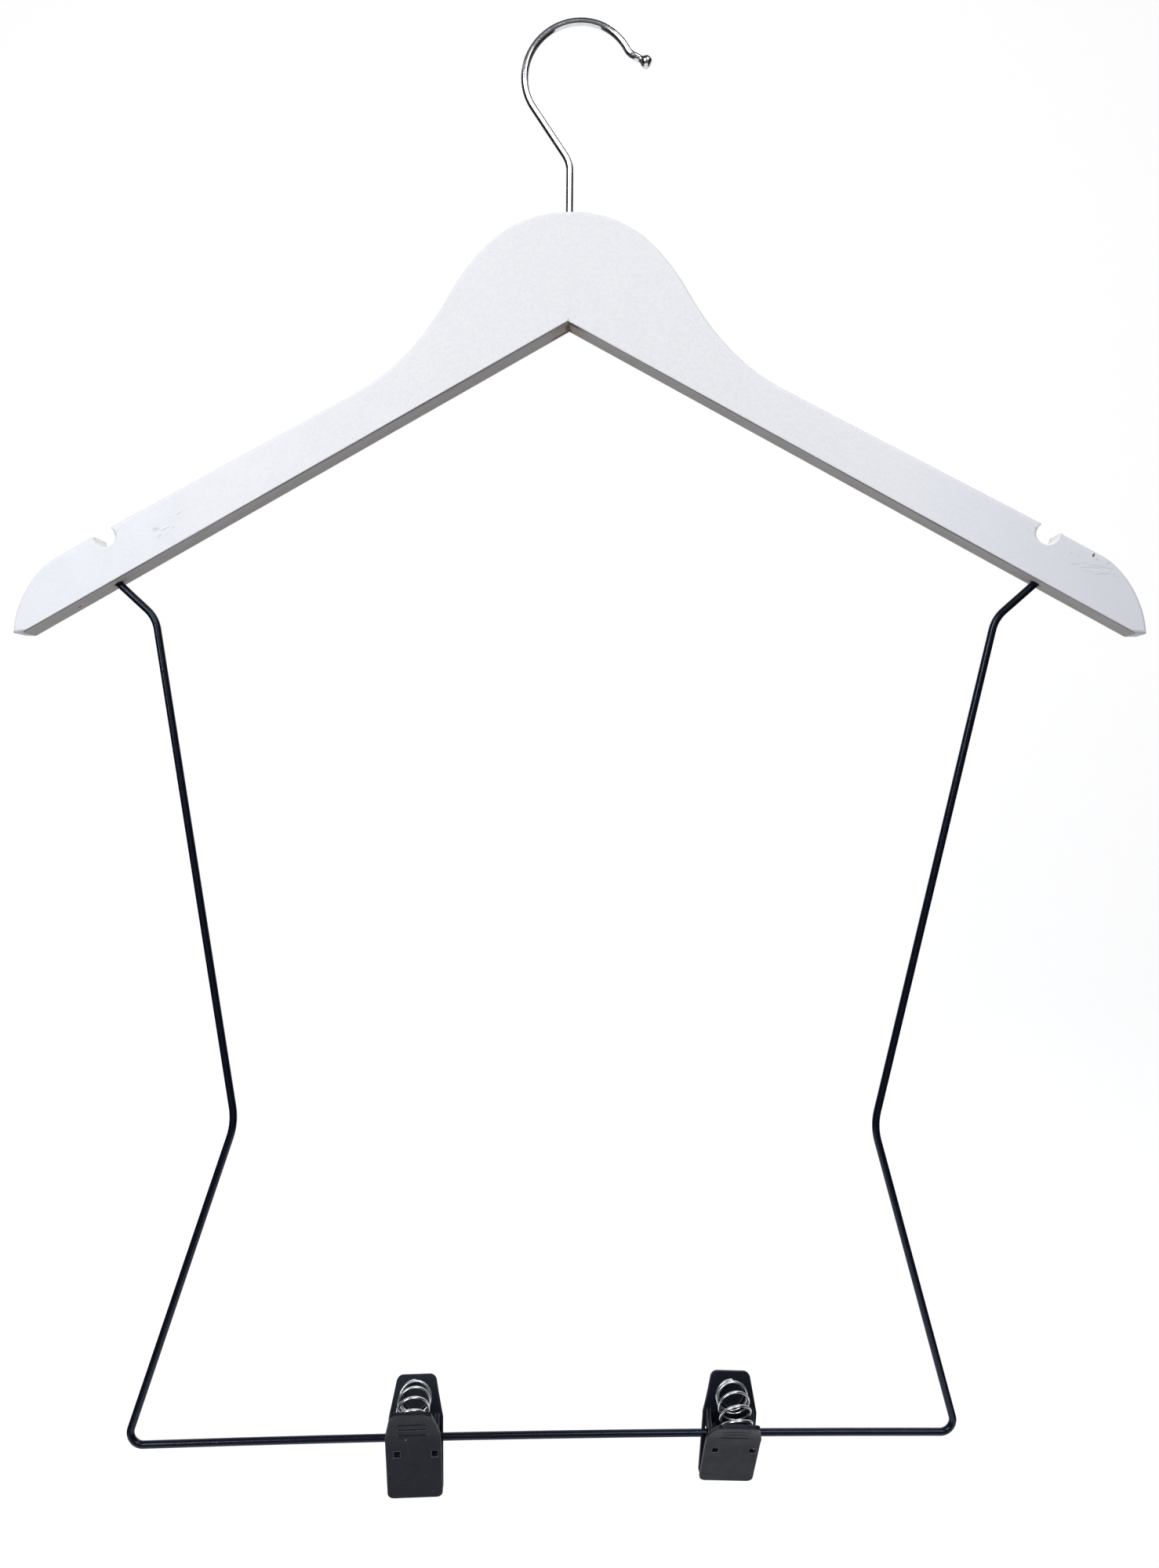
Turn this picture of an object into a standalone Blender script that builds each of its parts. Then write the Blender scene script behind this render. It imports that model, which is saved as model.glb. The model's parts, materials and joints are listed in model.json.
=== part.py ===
"""Clip hanger: a two-piece wooden hanger with a swivel hook, a wire torso frame and two spring clips.

The frame of the part: the origin is the point under the crown of the hook that rests on a rail,
+X runs to the right along the wood, -Y faces the viewer and +Z is up. Units are metres.
"""

from math import acos, asin, atan2, ceil, cos, hypot, pi, radians, sin, sqrt, tan

import bmesh
import bpy
import numpy as np
from mathutils import Matrix, Vector

MM = 0.001

# Fits and overruns
SEAT_GAP = 0.3 * MM  # between pieces that touch
CUT_OVERRUN = 1.0 * MM
UNION_SINK = 0.5 * MM  # how far a joined shape reaches into its carrier

# Hook
HOOK_WIRE = 3.0 * MM
HOOK_CROWN_RADIUS = 21.7 * MM  # to the centre of the wire
HOOK_SHANK_OFFSET = 3.4 * MM  # the shank stands this far left of the crown's middle
HOOK_LEG_LEAN = radians(33.5)
HOOK_LEG_BEND = 12.0 * MM
HOOK_MOUTH_ANGLE = radians(28.0)  # where the crown turns outwards again
HOOK_FLARE_RADIUS = 6.0 * MM
HOOK_FLARE_SWEEP = radians(34.0)
HOOK_TIP_RUN = 5.4 * MM
HOOK_TIP_WIDTH = 5.0 * MM
HOOK_TIP_LENGTH = 4.0 * MM

# Wooden shoulders
WOOD_THICKNESS = 12.0 * MM
WOOD_HALF_SPAN = 223.3 * MM
WOOD_DROP = 76.3 * MM  # the top of the wood under the origin
WOOD_CENTRE_DEPTH = 43.7 * MM
ARM_DEPTH = 22.8 * MM  # measured upright, at the notch's middle
UPPER_SLOPE = radians(28.1)
UNDER_SLOPE = radians(29.2)
UPPER_ROUND = 1.6 * MM
UNDER_ROUND = 0.5 * MM
FLANK_REACH = 84.0 * MM  # where the dome has run out into the arm
DOME_SHARES = ((0.262, 0.0), (0.43, 0.166), (0.583, 0.499), (0.667, 0.669))
FLANK_LEAD_SHARE = 0.2  # of the flank's reach, where the arm's line begins to bend
NOTCH_PLACE = 186.9 * MM  # from the middle
NOTCH_RADIUS = 4.2 * MM
NOTCH_SINK = 2.4 * MM  # of its centre under the edge
NOTCH_LIP_ROUND = 0.6 * MM
NOTCH_RIM_ROUND = 0.5 * MM
NOTCH_LEAD = 7.0 * MM  # from its middle to where the rim's full rounding starts
TIP_RUN = 18.0 * MM
TIP_FLAT = 4.4 * MM
TIP_SHARES = ((0.47, 0.15), (0.96, 0.54))

# Finger joint in the middle of the wood
FINGER_THICKNESS = 6.4 * MM
FINGER_REACH = 7.0 * MM
FINGER_REVEAL = 0.15 * MM  # the tongue stays this far under the wood's surface

# Swivel: the hook's shank, a washer and a nut in a pocket of the finger joint
SHANK_PLAY = 0.35 * MM
POCKET_DEPTH_BELOW_TOP = 22.0 * MM
WASHER_DIAMETER = 6.2 * MM
WASHER_THICKNESS = 0.8 * MM
NUT_DIAMETER = 5.6 * MM
NUT_HEIGHT = 3.2 * MM
SHANK_END_PROUD = 0.8 * MM
POCKET_SPARE = 1.2 * MM

# Wire torso frame
FRAME_WIRE = 3.0 * MM
FRAME_HOLE_PLACE = 182.4 * MM
FRAME_SHIFT = 0.4 * MM  # the frame sits this far right of the wood's middle
FRAME_ENTRY_SLOPE = radians(42.0)
FRAME_HOLE_DEPTH = 12.0 * MM
FRAME_SHOULDER_HALF = 167.2 * MM
FRAME_WAIST_HALF = 127.1 * MM
FRAME_FOOT_HALF = 165.3 * MM
FRAME_WAIST_DROP = 317.1 * MM  # under the apex of the wood
FRAME_BAR_DROP = 441.5 * MM
FRAME_SHOULDER_BEND = 14.0 * MM
FRAME_WAIST_BEND = 25.0 * MM
FRAME_FOOT_BEND = 5.0 * MM
FRAME_SWAY = 5.7 * MM  # the bar hangs this far to the left
FRAME_TWIST = radians(5.3)  # the bar is turned, left end forwards

# Clips
CLIP_WIDTH = 21.8 * MM
CLIP_TOP_WIDTH = 15.3 * MM
PLATE_THICKNESS = 1.7 * MM
JAW_LENGTH = 23.5 * MM  # below the bar's centre, along the jaw
JAW_LEAN = radians(9.3)
HANDLE_HEIGHT = 18.1 * MM  # above the bar's centre
HANDLE_SPREAD = 14.2 * MM  # from the clip's middle to the outer face at the top
HANDLE_LEAN = radians(34.0)
HANDLE_LEAD_SHARES = (0.36, 0.32)  # the bend's two lead-ins, of the handle's height
TAPER_START = 4.8 * MM  # above the bar
JAW_CORNER = 2.4 * MM
HANDLE_CORNER = 2.2 * MM
PLATE_EDGE = 0.25 * MM
PLATE_EDGE_ANGLE = radians(60.0)  # sharper edges are broken
GRIP_LINE_COUNT = 3
GRIP_LINE_LENGTH = 11.5 * MM
GRIP_LINE_PITCH = 2.85 * MM
GRIP_LINE_WIDTH = 0.7 * MM
GRIP_LINE_DEPTH = 0.45 * MM
GRIP_FIRST_FROM_TOP = 7.8 * MM
WINDOW_SIDE = 2.5 * MM
WINDOW_SPACING = 15.0 * MM
WINDOW_BELOW_BAR = 5.0 * MM
BAR_PLAY = 0.75 * MM  # the clips ride loosely on the bar
EYE_WALL = 1.35 * MM
EYE_THICKNESS = 1.4 * MM
EYE_PLACE = 8.7 * MM  # the rear plate's eyes, from the clip's middle
EYE_SIDE_GAP = 0.4 * MM
EYE_ROUND_FROM = radians(100.0)  # where the eye's round end starts, from the plate
EYE_WEB_RISE = 7.0 * MM
EYE_WEB_DROP = 3.4 * MM
BOSS_RADIUS = 5.0 * MM
BOSS_HEIGHT = 1.2 * MM
JAW_GAP = 0.36 * MM  # between the closed jaws' tips

# Springs
SPRING_WIRE = 0.8 * MM
SPRING_RADIUS = 6.25 * MM  # to the centre of the wire
SPRING_SEAT_FROM_TOP = 7.9 * MM
SPRING_END_TURNS = 1
SPRING_ACTIVE_TURNS = 3
SPRING_END_PITCH = 1.5 * MM  # centre to centre, on the side towards the bar
SPRING_POINTS_PER_TURN = 10

# How each clip hangs on the bar at rest: place along the bar, turn about it and roll
CLIPS = {
    "left_clip": (-52.5 * MM, radians(3.5), radians(-1.2)),
    "right_clip": (73.4 * MM, radians(19.3), radians(2.2)),
}

# Fineness of the round shapes
ROUND_SIDES = 24
NUT_SIDES = 6
CORNER_STEPS = 3
SHARP_ANGLE = radians(35.0)
WIRE_BEVEL_STEPS = 4
SPRING_BEVEL_STEPS = 1
GAP_SAMPLES = 4
WELD_SHARE = 0.001
ARC_STEP = radians(9.0)
DOME_STEPS = 9
RIM_STEPS = 4
NOTCH_STEPS = 12
GENTLE_TURN_SHARE = 0.2  # squared sine of a turn up to which two edges share one rim

WOOD_TOP = -WOOD_DROP
APEX = WOOD_TOP - WOOD_CENTRE_DEPTH
SHANK_X = -HOOK_SHANK_OFFSET


def start_clean():
    for obj in list(bpy.data.objects):
        bpy.data.objects.remove(obj)


def material(name, colour, roughness, metallic):
    made = bpy.data.materials.new(name)
    made.use_nodes = True
    shader = made.node_tree.nodes["Principled BSDF"]
    shader.inputs["Base Color"].default_value = (*colour, 1.0)
    shader.inputs["Roughness"].default_value = roughness
    shader.inputs["Metallic"].default_value = metallic
    made.diffuse_color = (*colour, 1.0)
    return made


def add_object(name, data, finish=None):
    obj = bpy.data.objects.new(name, data)
    bpy.context.scene.collection.objects.link(obj)
    if finish:
        data.materials.append(finish)
    return obj


def object_from(bm, name, finish=None, sharp_angle=SHARP_ANGLE):
    bmesh.ops.recalc_face_normals(bm, faces=bm.faces)
    mesh = bpy.data.meshes.new(name)
    bm.to_mesh(mesh)
    bm.free()
    mesh.shade_smooth()
    mesh.set_sharp_from_angle(angle=sharp_angle)
    return add_object(name, mesh, finish)


def as_helper(obj):
    obj.hide_render = True
    obj.display_type = "WIRE"
    return obj


def combine(obj, helper, operation):
    step = obj.modifiers.new(helper.name, "BOOLEAN")
    step.operation = operation
    step.solver = "EXACT"
    step.object = as_helper(helper)


def bezier(p0, p1, p2, p3, steps):
    """Points of a cubic curve, without its first."""
    points = []
    for i in range(1, steps + 1):
        t = i / steps
        weights = ((1 - t) ** 3, 3 * t * (1 - t) ** 2, 3 * t * t * (1 - t), t**3)
        a, b, c, d = (Vector(p) * w for p, w in zip((p0, p1, p2, p3), weights))
        points.append(a + b + c + d)
    return points


def rounded_path(corners, radii):
    """The corner points with each inner corner replaced by an arc of its radius."""
    points = [Vector(corners[0])]
    for before, corner, after, radius in zip(corners, corners[1:], corners[2:], radii):
        back = (Vector(before) - Vector(corner)).normalized()
        ahead = (Vector(after) - Vector(corner)).normalized()
        half = acos(max(-1.0, min(1.0, back.dot(ahead)))) / 2
        centre = Vector(corner) + (back + ahead).normalized() * (radius / sin(half))
        start = Vector(corner) + back * (radius / tan(half)) - centre
        end = Vector(corner) + ahead * (radius / tan(half)) - centre
        sweep = pi - 2 * half
        steps = max(2, ceil(sweep / ARC_STEP))
        for i in range(steps + 1):
            a = sweep * i / steps
            points.append(centre + (start * sin(sweep - a) + end * sin(a)) / sin(sweep))
    return points + [Vector(corners[-1])]


def extruded(outline, thickness, name):
    """A solid from an outline of (x, z) points, centred on Y = 0."""
    bm = bmesh.new()
    front = bm.faces.new([bm.verts.new((x, -thickness / 2, z)) for x, z in outline])
    made = bmesh.ops.extrude_face_region(bm, geom=[front])
    moved = [v for v in made["geom"] if isinstance(v, bmesh.types.BMVert)]
    bmesh.ops.translate(bm, verts=moved, vec=(0, thickness, 0))
    return object_from(bm, name)


def inset(outline, depths):
    """The clockwise outline with each edge moved inwards by its own depth."""
    points = [Vector(p) for p in outline]
    count, moved = len(points), []
    for i, point in enumerate(points):
        back, ahead = point - points[i - 1], points[(i + 1) % count] - point
        inward = [Vector((d.y, -d.x)).normalized() for d in (back, ahead)]
        before, after = depths[i - 1], depths[i]
        lean = inward[0].dot(inward[1])
        spread = 1 - lean**2
        if spread < GENTLE_TURN_SHARE:
            moved.append(point + (inward[0] + inward[1]) * (min(before, after) / (1 + lean)))
            continue
        first, second = (before - after * lean) / spread, (after - before * lean) / spread
        moved.append(point + inward[0] * first + inward[1] * second)
    return moved


def rounded_slab(name, outline, thickness, rims, finish):
    """A solid whose front and rear rims are rounded. rims gives the radius of each edge, front and rear."""
    bm = bmesh.new()
    rings = []
    for side, radii in ((-1, rims[0]), (1, rims[1])):
        largest = max(radii)
        steps = [pi / 2 * i / RIM_STEPS for i in range(RIM_STEPS + 1)]
        for a in steps if side < 0 else reversed(steps):
            loop = inset(outline, [radius * (1 - sin(a)) for radius in radii])
            y = side * (thickness / 2 - largest * (1 - cos(a)))
            rings.append([bm.verts.new((p.x, y, p.y)) for p in loop])
    for near, far in zip(rings, rings[1:]):
        for i in range(len(outline)):
            bm.faces.new((near[i - 1], near[i], far[i], far[i - 1]))
    bm.faces.new(rings[0])
    bm.faces.new(rings[-1])
    return object_from(bm, name, finish)


def cylinder(name, radius, start, end, sides=ROUND_SIDES, finish=None):
    start, end = Vector(start), Vector(end)
    axis = end - start
    turn = Vector((0, 0, 1)).rotation_difference(axis).to_matrix().to_4x4()
    bm = bmesh.new()
    bmesh.ops.create_cone(
        bm,
        cap_ends=True,
        segments=sides,
        radius1=radius,
        radius2=radius,
        depth=axis.length,
        matrix=Matrix.Translation((start + end) / 2) @ turn,
    )
    return object_from(bm, name, finish)


def block(name, low, high):
    low, high = Vector(low), Vector(high)
    bm = bmesh.new()
    size = Matrix.Diagonal((*(high - low), 1.0))
    bmesh.ops.create_cube(bm, size=1.0, matrix=Matrix.Translation((low + high) / 2) @ size)
    return object_from(bm, name)


def wire(name, points, diameter, finish, steps=WIRE_BEVEL_STEPS):
    """A round wire along the points, as one closed mesh."""
    curve = bpy.data.curves.new(name, "CURVE")
    curve.dimensions = "3D"
    curve.bevel_depth = diameter / 2
    curve.bevel_resolution = steps
    curve.use_fill_caps = True
    spline = curve.splines.new("POLY")
    spline.points.add(len(points) - 1)
    for place, point in zip(spline.points, points):
        place.co = (*point, 1.0)
    drawn = add_object(name + "_line", curve)
    bpy.context.view_layer.update()
    graph = bpy.context.evaluated_depsgraph_get()
    bm = bmesh.new()
    bm.from_mesh(bpy.data.meshes.new_from_object(drawn.evaluated_get(graph)))
    bpy.data.objects.remove(drawn)
    bmesh.ops.remove_doubles(bm, verts=bm.verts, dist=diameter * WELD_SHARE)
    return object_from(bm, name, finish)


# Wood


def upper_line(x):
    """Height of the arm's straight upper edge at this distance from the middle."""
    notch_top = under_line(NOTCH_PLACE) + ARM_DEPTH
    return notch_top - (x - NOTCH_PLACE) * tan(UPPER_SLOPE)


def under_line(x):
    return APEX - abs(x) * tan(UNDER_SLOPE)


def dome_points():
    """The top edge of a half, from the middle to where the arm runs straight."""
    flank = Vector((FLANK_REACH, upper_line(FLANK_REACH)))
    drop = WOOD_TOP - flank.y
    first, second, middle, third = (
        Vector((FLANK_REACH * across, WOOD_TOP - drop * down)) for across, down in DOME_SHARES
    )
    lead = FLANK_REACH * FLANK_LEAD_SHARE
    fourth = flank + Vector((-lead, lead * tan(UPPER_SLOPE)))
    top = Vector((0, WOOD_TOP))
    dome = bezier(top, first, second, middle, DOME_STEPS)
    return [top, *dome, *bezier(middle, third, fourth, flank, DOME_STEPS)]


def notch_points():
    """The notch is part of a circle just under the edge, with small rounds at its two lips."""
    along = Vector((cos(UPPER_SLOPE), -sin(UPPER_SLOPE)))
    down = Vector((-sin(UPPER_SLOPE), -cos(UPPER_SLOPE)))
    edge = Vector((NOTCH_PLACE, upper_line(NOTCH_PLACE)))
    centre, half_sweep = edge + down * NOTCH_SINK, pi - acos(NOTCH_SINK / NOTCH_RADIUS)
    angles = np.linspace(-half_sweep, half_sweep, NOTCH_STEPS + 1)
    arc = [centre + (along * sin(a) + down * cos(a)) * NOTCH_RADIUS for a in angles]
    first, last = (edge + along * NOTCH_LEAD * side for side in (-1, 1))
    into = rounded_path([first, arc[0], arc[1]], [NOTCH_LIP_ROUND])[:-1]
    out = rounded_path([arc[-2], arc[-1], last], [NOTCH_LIP_ROUND])[1:]
    return into + arc[1:-1] + out


def tip_points():
    start_x = WOOD_HALF_SPAN - TIP_RUN
    start = Vector((start_x, upper_line(start_x)))
    end = Vector((WOOD_HALF_SPAN, under_line(WOOD_HALF_SPAN - TIP_FLAT)))
    size = end - start
    first, second = (start + Vector((size.x * across, size.y * down)) for across, down in TIP_SHARES)
    return bezier(start, first, second, end, DOME_STEPS)


def half_outline():
    """(x, z) of the right half, from the middle outwards and back under the arm."""
    middle = SEAT_GAP / 2
    top = [p for p in dome_points() if p.x > middle]
    under_end = WOOD_HALF_SPAN - TIP_FLAT
    outline = [(middle, WOOD_TOP)]
    outline += [(p.x, p.y) for p in top + notch_points() + tip_points()]
    outline += [(under_end, under_line(under_end)), (middle, under_line(middle))]
    return outline


def half_rims(outline):
    """The rounding of each outline edge, in front and behind: none in the joint, little under the front."""
    front, rear = [], []
    for (x, z), (next_x, _) in zip(outline, outline[1:] + outline[:1]):
        in_joint = max(x, next_x) < SEAT_GAP
        under = z < under_line(x) + SEAT_GAP
        in_notch = abs((x + next_x) / 2 - NOTCH_PLACE) < NOTCH_RADIUS
        upper = NOTCH_RIM_ROUND if in_notch and not under else UPPER_ROUND
        front.append(0.0 if in_joint else UNDER_ROUND if under else upper)
        rear.append(0.0 if in_joint else upper)
    return front, rear


def shoulder(name, side, finish):
    outline = half_outline()
    placed = [(SHANK_X + side * x, z) for x, z in outline]
    rims = half_rims(outline)
    if side < 0:
        placed = placed[:1] + placed[:0:-1]
        rims = [radii[::-1] for radii in rims]
    return rounded_slab(name, placed, WOOD_THICKNESS, rims, finish)


def hole_frame(side):
    """Where the frame's wire enters the wood, and the direction into it."""
    into = Vector((side * cos(FRAME_ENTRY_SLOPE), 0, sin(FRAME_ENTRY_SLOPE)))
    across = FRAME_SHIFT + side * FRAME_HOLE_PLACE
    return Vector((SHANK_X + across, 0, under_line(across))), into


def drill_frame_hole(obj, side):
    mouth, into = hole_frame(side)
    radius = FRAME_WIRE / 2 + SEAT_GAP
    end = mouth + into * (FRAME_HOLE_DEPTH + SEAT_GAP)
    combine(obj, cylinder(obj.name + "_hole", radius, mouth - into * radius * 2, end), "DIFFERENCE")


def finger(name, reach, thickness, top, root):
    """The tongue of the finger joint, or with more reach and thickness the slot for it."""
    domed = dome_points()
    across, heights = [p.x for p in domed], [p.y for p in domed]
    left = np.linspace(-reach, root, ceil(FINGER_REACH / MM) + 1)
    outline = [(SHANK_X + x, np.interp(abs(x), across, heights) + top) for x in left]
    outline += [(SHANK_X + root, under_line(root) - top), (SHANK_X, APEX - top)]
    outline += [(SHANK_X - reach, under_line(reach) - top)]
    return extruded(outline, thickness, name)


def pocket_levels():
    """Heights in the pocket: ceiling, undersides of the washer and the nut, end of the shank, floor."""
    ceiling = WOOD_TOP - POCKET_DEPTH_BELOW_TOP
    washer = ceiling - SEAT_GAP - WASHER_THICKNESS
    nut = washer - SEAT_GAP - NUT_HEIGHT
    shank_end = nut - SHANK_END_PROUD
    return ceiling, washer, nut, shank_end, shank_end - POCKET_SPARE


def make_wood(paint):
    left = shoulder("left_shoulder", -1, paint)
    right = shoulder("right_shoulder", 1, paint)
    for obj, side in ((left, -1), (right, 1)):
        drill_frame_hole(obj, side)
    tongue = finger("finger", FINGER_REACH, FINGER_THICKNESS, -FINGER_REVEAL, SEAT_GAP + UNION_SINK)
    combine(right, tongue, "UNION")
    slot_reach, slot_width = FINGER_REACH + SEAT_GAP, FINGER_THICKNESS + 2 * SEAT_GAP
    combine(left, finger("finger_slot", slot_reach, slot_width, CUT_OVERRUN, CUT_OVERRUN), "DIFFERENCE")
    ceiling, _, _, _, floor = pocket_levels()
    half = WASHER_DIAMETER / 2 + SEAT_GAP
    pocket = block("swivel_pocket", (SHANK_X - half, -half, floor), (SHANK_X + half, half, ceiling))
    combine(right, pocket, "DIFFERENCE")
    bore_radius = HOOK_WIRE / 2 + SHANK_PLAY
    above, inside = (SHANK_X, 0, WOOD_TOP + CUT_OVERRUN), (SHANK_X, 0, ceiling - CUT_OVERRUN)
    combine(right, cylinder("shank_bore", bore_radius, above, inside), "DIFFERENCE")
    return left, right


# Hook


def on_crown(a):
    """A point of the crown's centre line, at this angle from +X."""
    centre = Vector((0, 0, -HOOK_CROWN_RADIUS + HOOK_WIRE / 2))
    return centre + Vector((cos(a), 0, sin(a))) * HOOK_CROWN_RADIUS


def hook_points():
    """The hook's centre line, from the lower end of the shank to the tip."""
    leg_top = on_crown(pi + HOOK_LEG_LEAN)
    leg_run = (SHANK_X - leg_top.x) / sin(HOOK_LEG_LEAN)
    corner = leg_top + Vector((sin(HOOK_LEG_LEAN), 0, -cos(HOOK_LEG_LEAN))) * leg_run
    foot = Vector((SHANK_X, 0, pocket_levels()[3]))
    points = rounded_path([foot, corner, leg_top], [HOOK_LEG_BEND])
    sweep = pi + HOOK_LEG_LEAN - HOOK_MOUTH_ANGLE
    steps = ceil(sweep / ARC_STEP)
    points += [on_crown(pi + HOOK_LEG_LEAN - sweep * i / steps) for i in range(1, steps + 1)]
    outward = Vector((cos(HOOK_MOUTH_ANGLE), 0, sin(HOOK_MOUTH_ANGLE)))
    flare_centre = points[-1] + outward * HOOK_FLARE_RADIUS
    steps = ceil(HOOK_FLARE_SWEEP / ARC_STEP)
    for i in range(1, steps + 1):
        a = pi + HOOK_MOUTH_ANGLE + HOOK_FLARE_SWEEP * i / steps
        points.append(flare_centre + Vector((cos(a), 0, sin(a))) * HOOK_FLARE_RADIUS)
    heading = pi / 2 + pi + HOOK_MOUTH_ANGLE + HOOK_FLARE_SWEEP
    tip = points[-1] + Vector((cos(heading), 0, sin(heading))) * HOOK_TIP_RUN
    return points + [tip]


def make_hook(chrome):
    points = hook_points()
    obj = wire("hook", points, HOOK_WIRE, chrome)
    bm = bmesh.new()
    bmesh.ops.create_uvsphere(bm, u_segments=ROUND_SIDES, v_segments=ROUND_SIDES // 2, radius=1.0)
    size = Matrix.Diagonal((HOOK_TIP_WIDTH / 2, HOOK_TIP_WIDTH / 2, HOOK_TIP_LENGTH / 2, 1.0))
    turn = (points[-1] - points[-2]).to_track_quat("Z", "Y").to_matrix().to_4x4()
    bmesh.ops.transform(bm, matrix=Matrix.Translation(points[-1]) @ turn @ size, verts=bm.verts)
    combine(obj, object_from(bm, "hook_tip"), "UNION")
    return obj


def ring(name, outer_diameter, low, high, sides, finish):
    """A washer or nut around the hook's shank."""
    obj = cylinder(name, outer_diameter / 2, (SHANK_X, 0, low), (SHANK_X, 0, high), sides, finish)
    bore_radius = HOOK_WIRE / 2 + SEAT_GAP
    ends = (SHANK_X, 0, low - CUT_OVERRUN), (SHANK_X, 0, high + CUT_OVERRUN)
    combine(obj, cylinder(name + "_bore", bore_radius, *ends), "DIFFERENCE")
    return obj


def make_swivel(steel):
    ceiling, washer, nut, _, _ = pocket_levels()
    disc = ring("hook_washer", WASHER_DIAMETER, washer, ceiling - SEAT_GAP, ROUND_SIDES, steel)
    return disc, ring("hook_nut", NUT_DIAMETER, nut, washer - SEAT_GAP, NUT_SIDES, steel)


# Wire frame


def bar_height():
    return APEX - FRAME_BAR_DROP


def racked(x, z, top):
    """A point of the flat, level frame as it hangs: swayed to the left and twisted towards the bar."""
    share = (top - z) / (top - bar_height())
    turn = Matrix.Rotation(FRAME_TWIST * share, 3, "Z")
    return turn @ Vector((x, 0, 0)) + Vector((SHANK_X + FRAME_SHIFT - FRAME_SWAY * share, 0, z))


def frame_points():
    corners, radii = [], []
    for side in (-1, 1):
        mouth, into = hole_frame(side)
        run = (FRAME_HOLE_PLACE - FRAME_SHOULDER_HALF) / cos(FRAME_ENTRY_SLOPE)
        bend = mouth - into * run
        waist = racked(side * FRAME_WAIST_HALF, APEX - FRAME_WAIST_DROP, bend.z)
        foot = racked(side * FRAME_FOOT_HALF, bar_height(), bend.z)
        half = [mouth + into * FRAME_HOLE_DEPTH, bend, waist, foot]
        bends = [FRAME_SHOULDER_BEND, FRAME_WAIST_BEND, FRAME_FOOT_BEND]
        corners += half if side < 0 else half[::-1]
        radii += bends if side < 0 else bends[::-1]
    return rounded_path(corners, radii)


def bar_place(along):
    """A point on the bar's centre line, this far from its middle."""
    middle = Vector((SHANK_X + FRAME_SHIFT - FRAME_SWAY, 0, bar_height()))
    return middle + Vector((cos(FRAME_TWIST), sin(FRAME_TWIST), 0)) * along


# Clips: in a clip's own frame the bar runs along X through the origin, and the front plate is at -Y


def plate_curve():
    """The outer face of a plate from the side, as (distance from the middle, height), from the tip."""
    tip_out = JAW_GAP / 2 + PLATE_THICKNESS / cos(JAW_LEAN)
    tip = Vector((tip_out, -JAW_LENGTH * cos(JAW_LEAN)))
    lean = Vector((sin(JAW_LEAN), cos(JAW_LEAN)))
    level = tip + lean * JAW_LENGTH
    top = Vector((HANDLE_SPREAD, HANDLE_HEIGHT))
    leads = [HANDLE_HEIGHT * share for share in HANDLE_LEAD_SHARES]
    upper = Vector((sin(HANDLE_LEAN), cos(HANDLE_LEAN)))
    return [tip, level, *bezier(level, level + lean * leads[0], top - upper * leads[1], top, DOME_STEPS)]


def on_plate(distance):
    """Place, outward and upward directions on the outer face, this far along it from the jaw's tip."""
    curve = plate_curve()
    for a, b in zip(curve, curve[1:]):
        run = (b - a).length
        if distance <= run or b is curve[-1]:
            up = (b - a).normalized()
            return a + up * distance, Vector((up.y, -up.x)), up
        distance -= run


def plate_length():
    curve = plate_curve()
    return sum((b - a).length for a, b in zip(curve, curve[1:]))


def taper_distance():
    return JAW_LENGTH + TAPER_START


def half_width(distance):
    """Half the plate's width at this distance from the jaw's tip, with its four corners rounded."""
    length, taper = plate_length(), taper_distance()
    share = max(0.0, (distance - taper) / (length - taper))
    width = CLIP_WIDTH / 2 - share * (CLIP_WIDTH - CLIP_TOP_WIDTH) / 2
    for from_end, corner in ((distance, JAW_CORNER), (length - distance, HANDLE_CORNER)):
        if from_end < corner:
            width -= corner - sqrt(corner**2 - (corner - from_end) ** 2)
    return width


def plate_stations():
    """Distances along the plate at which its shape changes, from the jaw's tip."""
    length = plate_length()
    rounded = [1 - cos(pi / 2 * i / CORNER_STEPS) for i in range(CORNER_STEPS + 1)]
    low = [JAW_CORNER * share for share in rounded]
    high = [length - HANDLE_CORNER * share for share in reversed(rounded)]
    curve, run, bends = plate_curve(), 0.0, []
    for a, b in zip(curve, curve[1:]):
        run += (b - a).length
        bends.append(run)
    between = [d for d in [*bends, taper_distance()] if low[-1] + PLATE_EDGE < d < high[0] - PLATE_EDGE]
    return low + sorted(between) + high


def plate_blank(name, side, finish):
    bm = bmesh.new()
    rows = []
    for distance in plate_stations():
        place, _, _ = on_plate(distance)
        half = half_width(distance)
        rows.append([bm.verts.new((x, side * place.x, place.y)) for x in (-half, half)])
    faces = [bm.faces.new((*low, *reversed(high))) for low, high in zip(rows, rows[1:])]
    outward = Vector((0, side, 0))
    for face in faces:
        face.normal_update()
        if face.normal.dot(outward) < 0:
            face.normal_flip()
    bmesh.ops.solidify(bm, geom=faces, thickness=PLATE_THICKNESS)
    obj = object_from(bm, name, finish)
    edges = obj.modifiers.new("edges", "BEVEL")
    edges.limit_method = "ANGLE"
    edges.angle_limit = PLATE_EDGE_ANGLE
    edges.width = PLATE_EDGE
    edges.segments = 1
    return obj


def eye_radius():
    return FRAME_WIRE / 2 + BAR_PLAY + EYE_WALL


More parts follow.
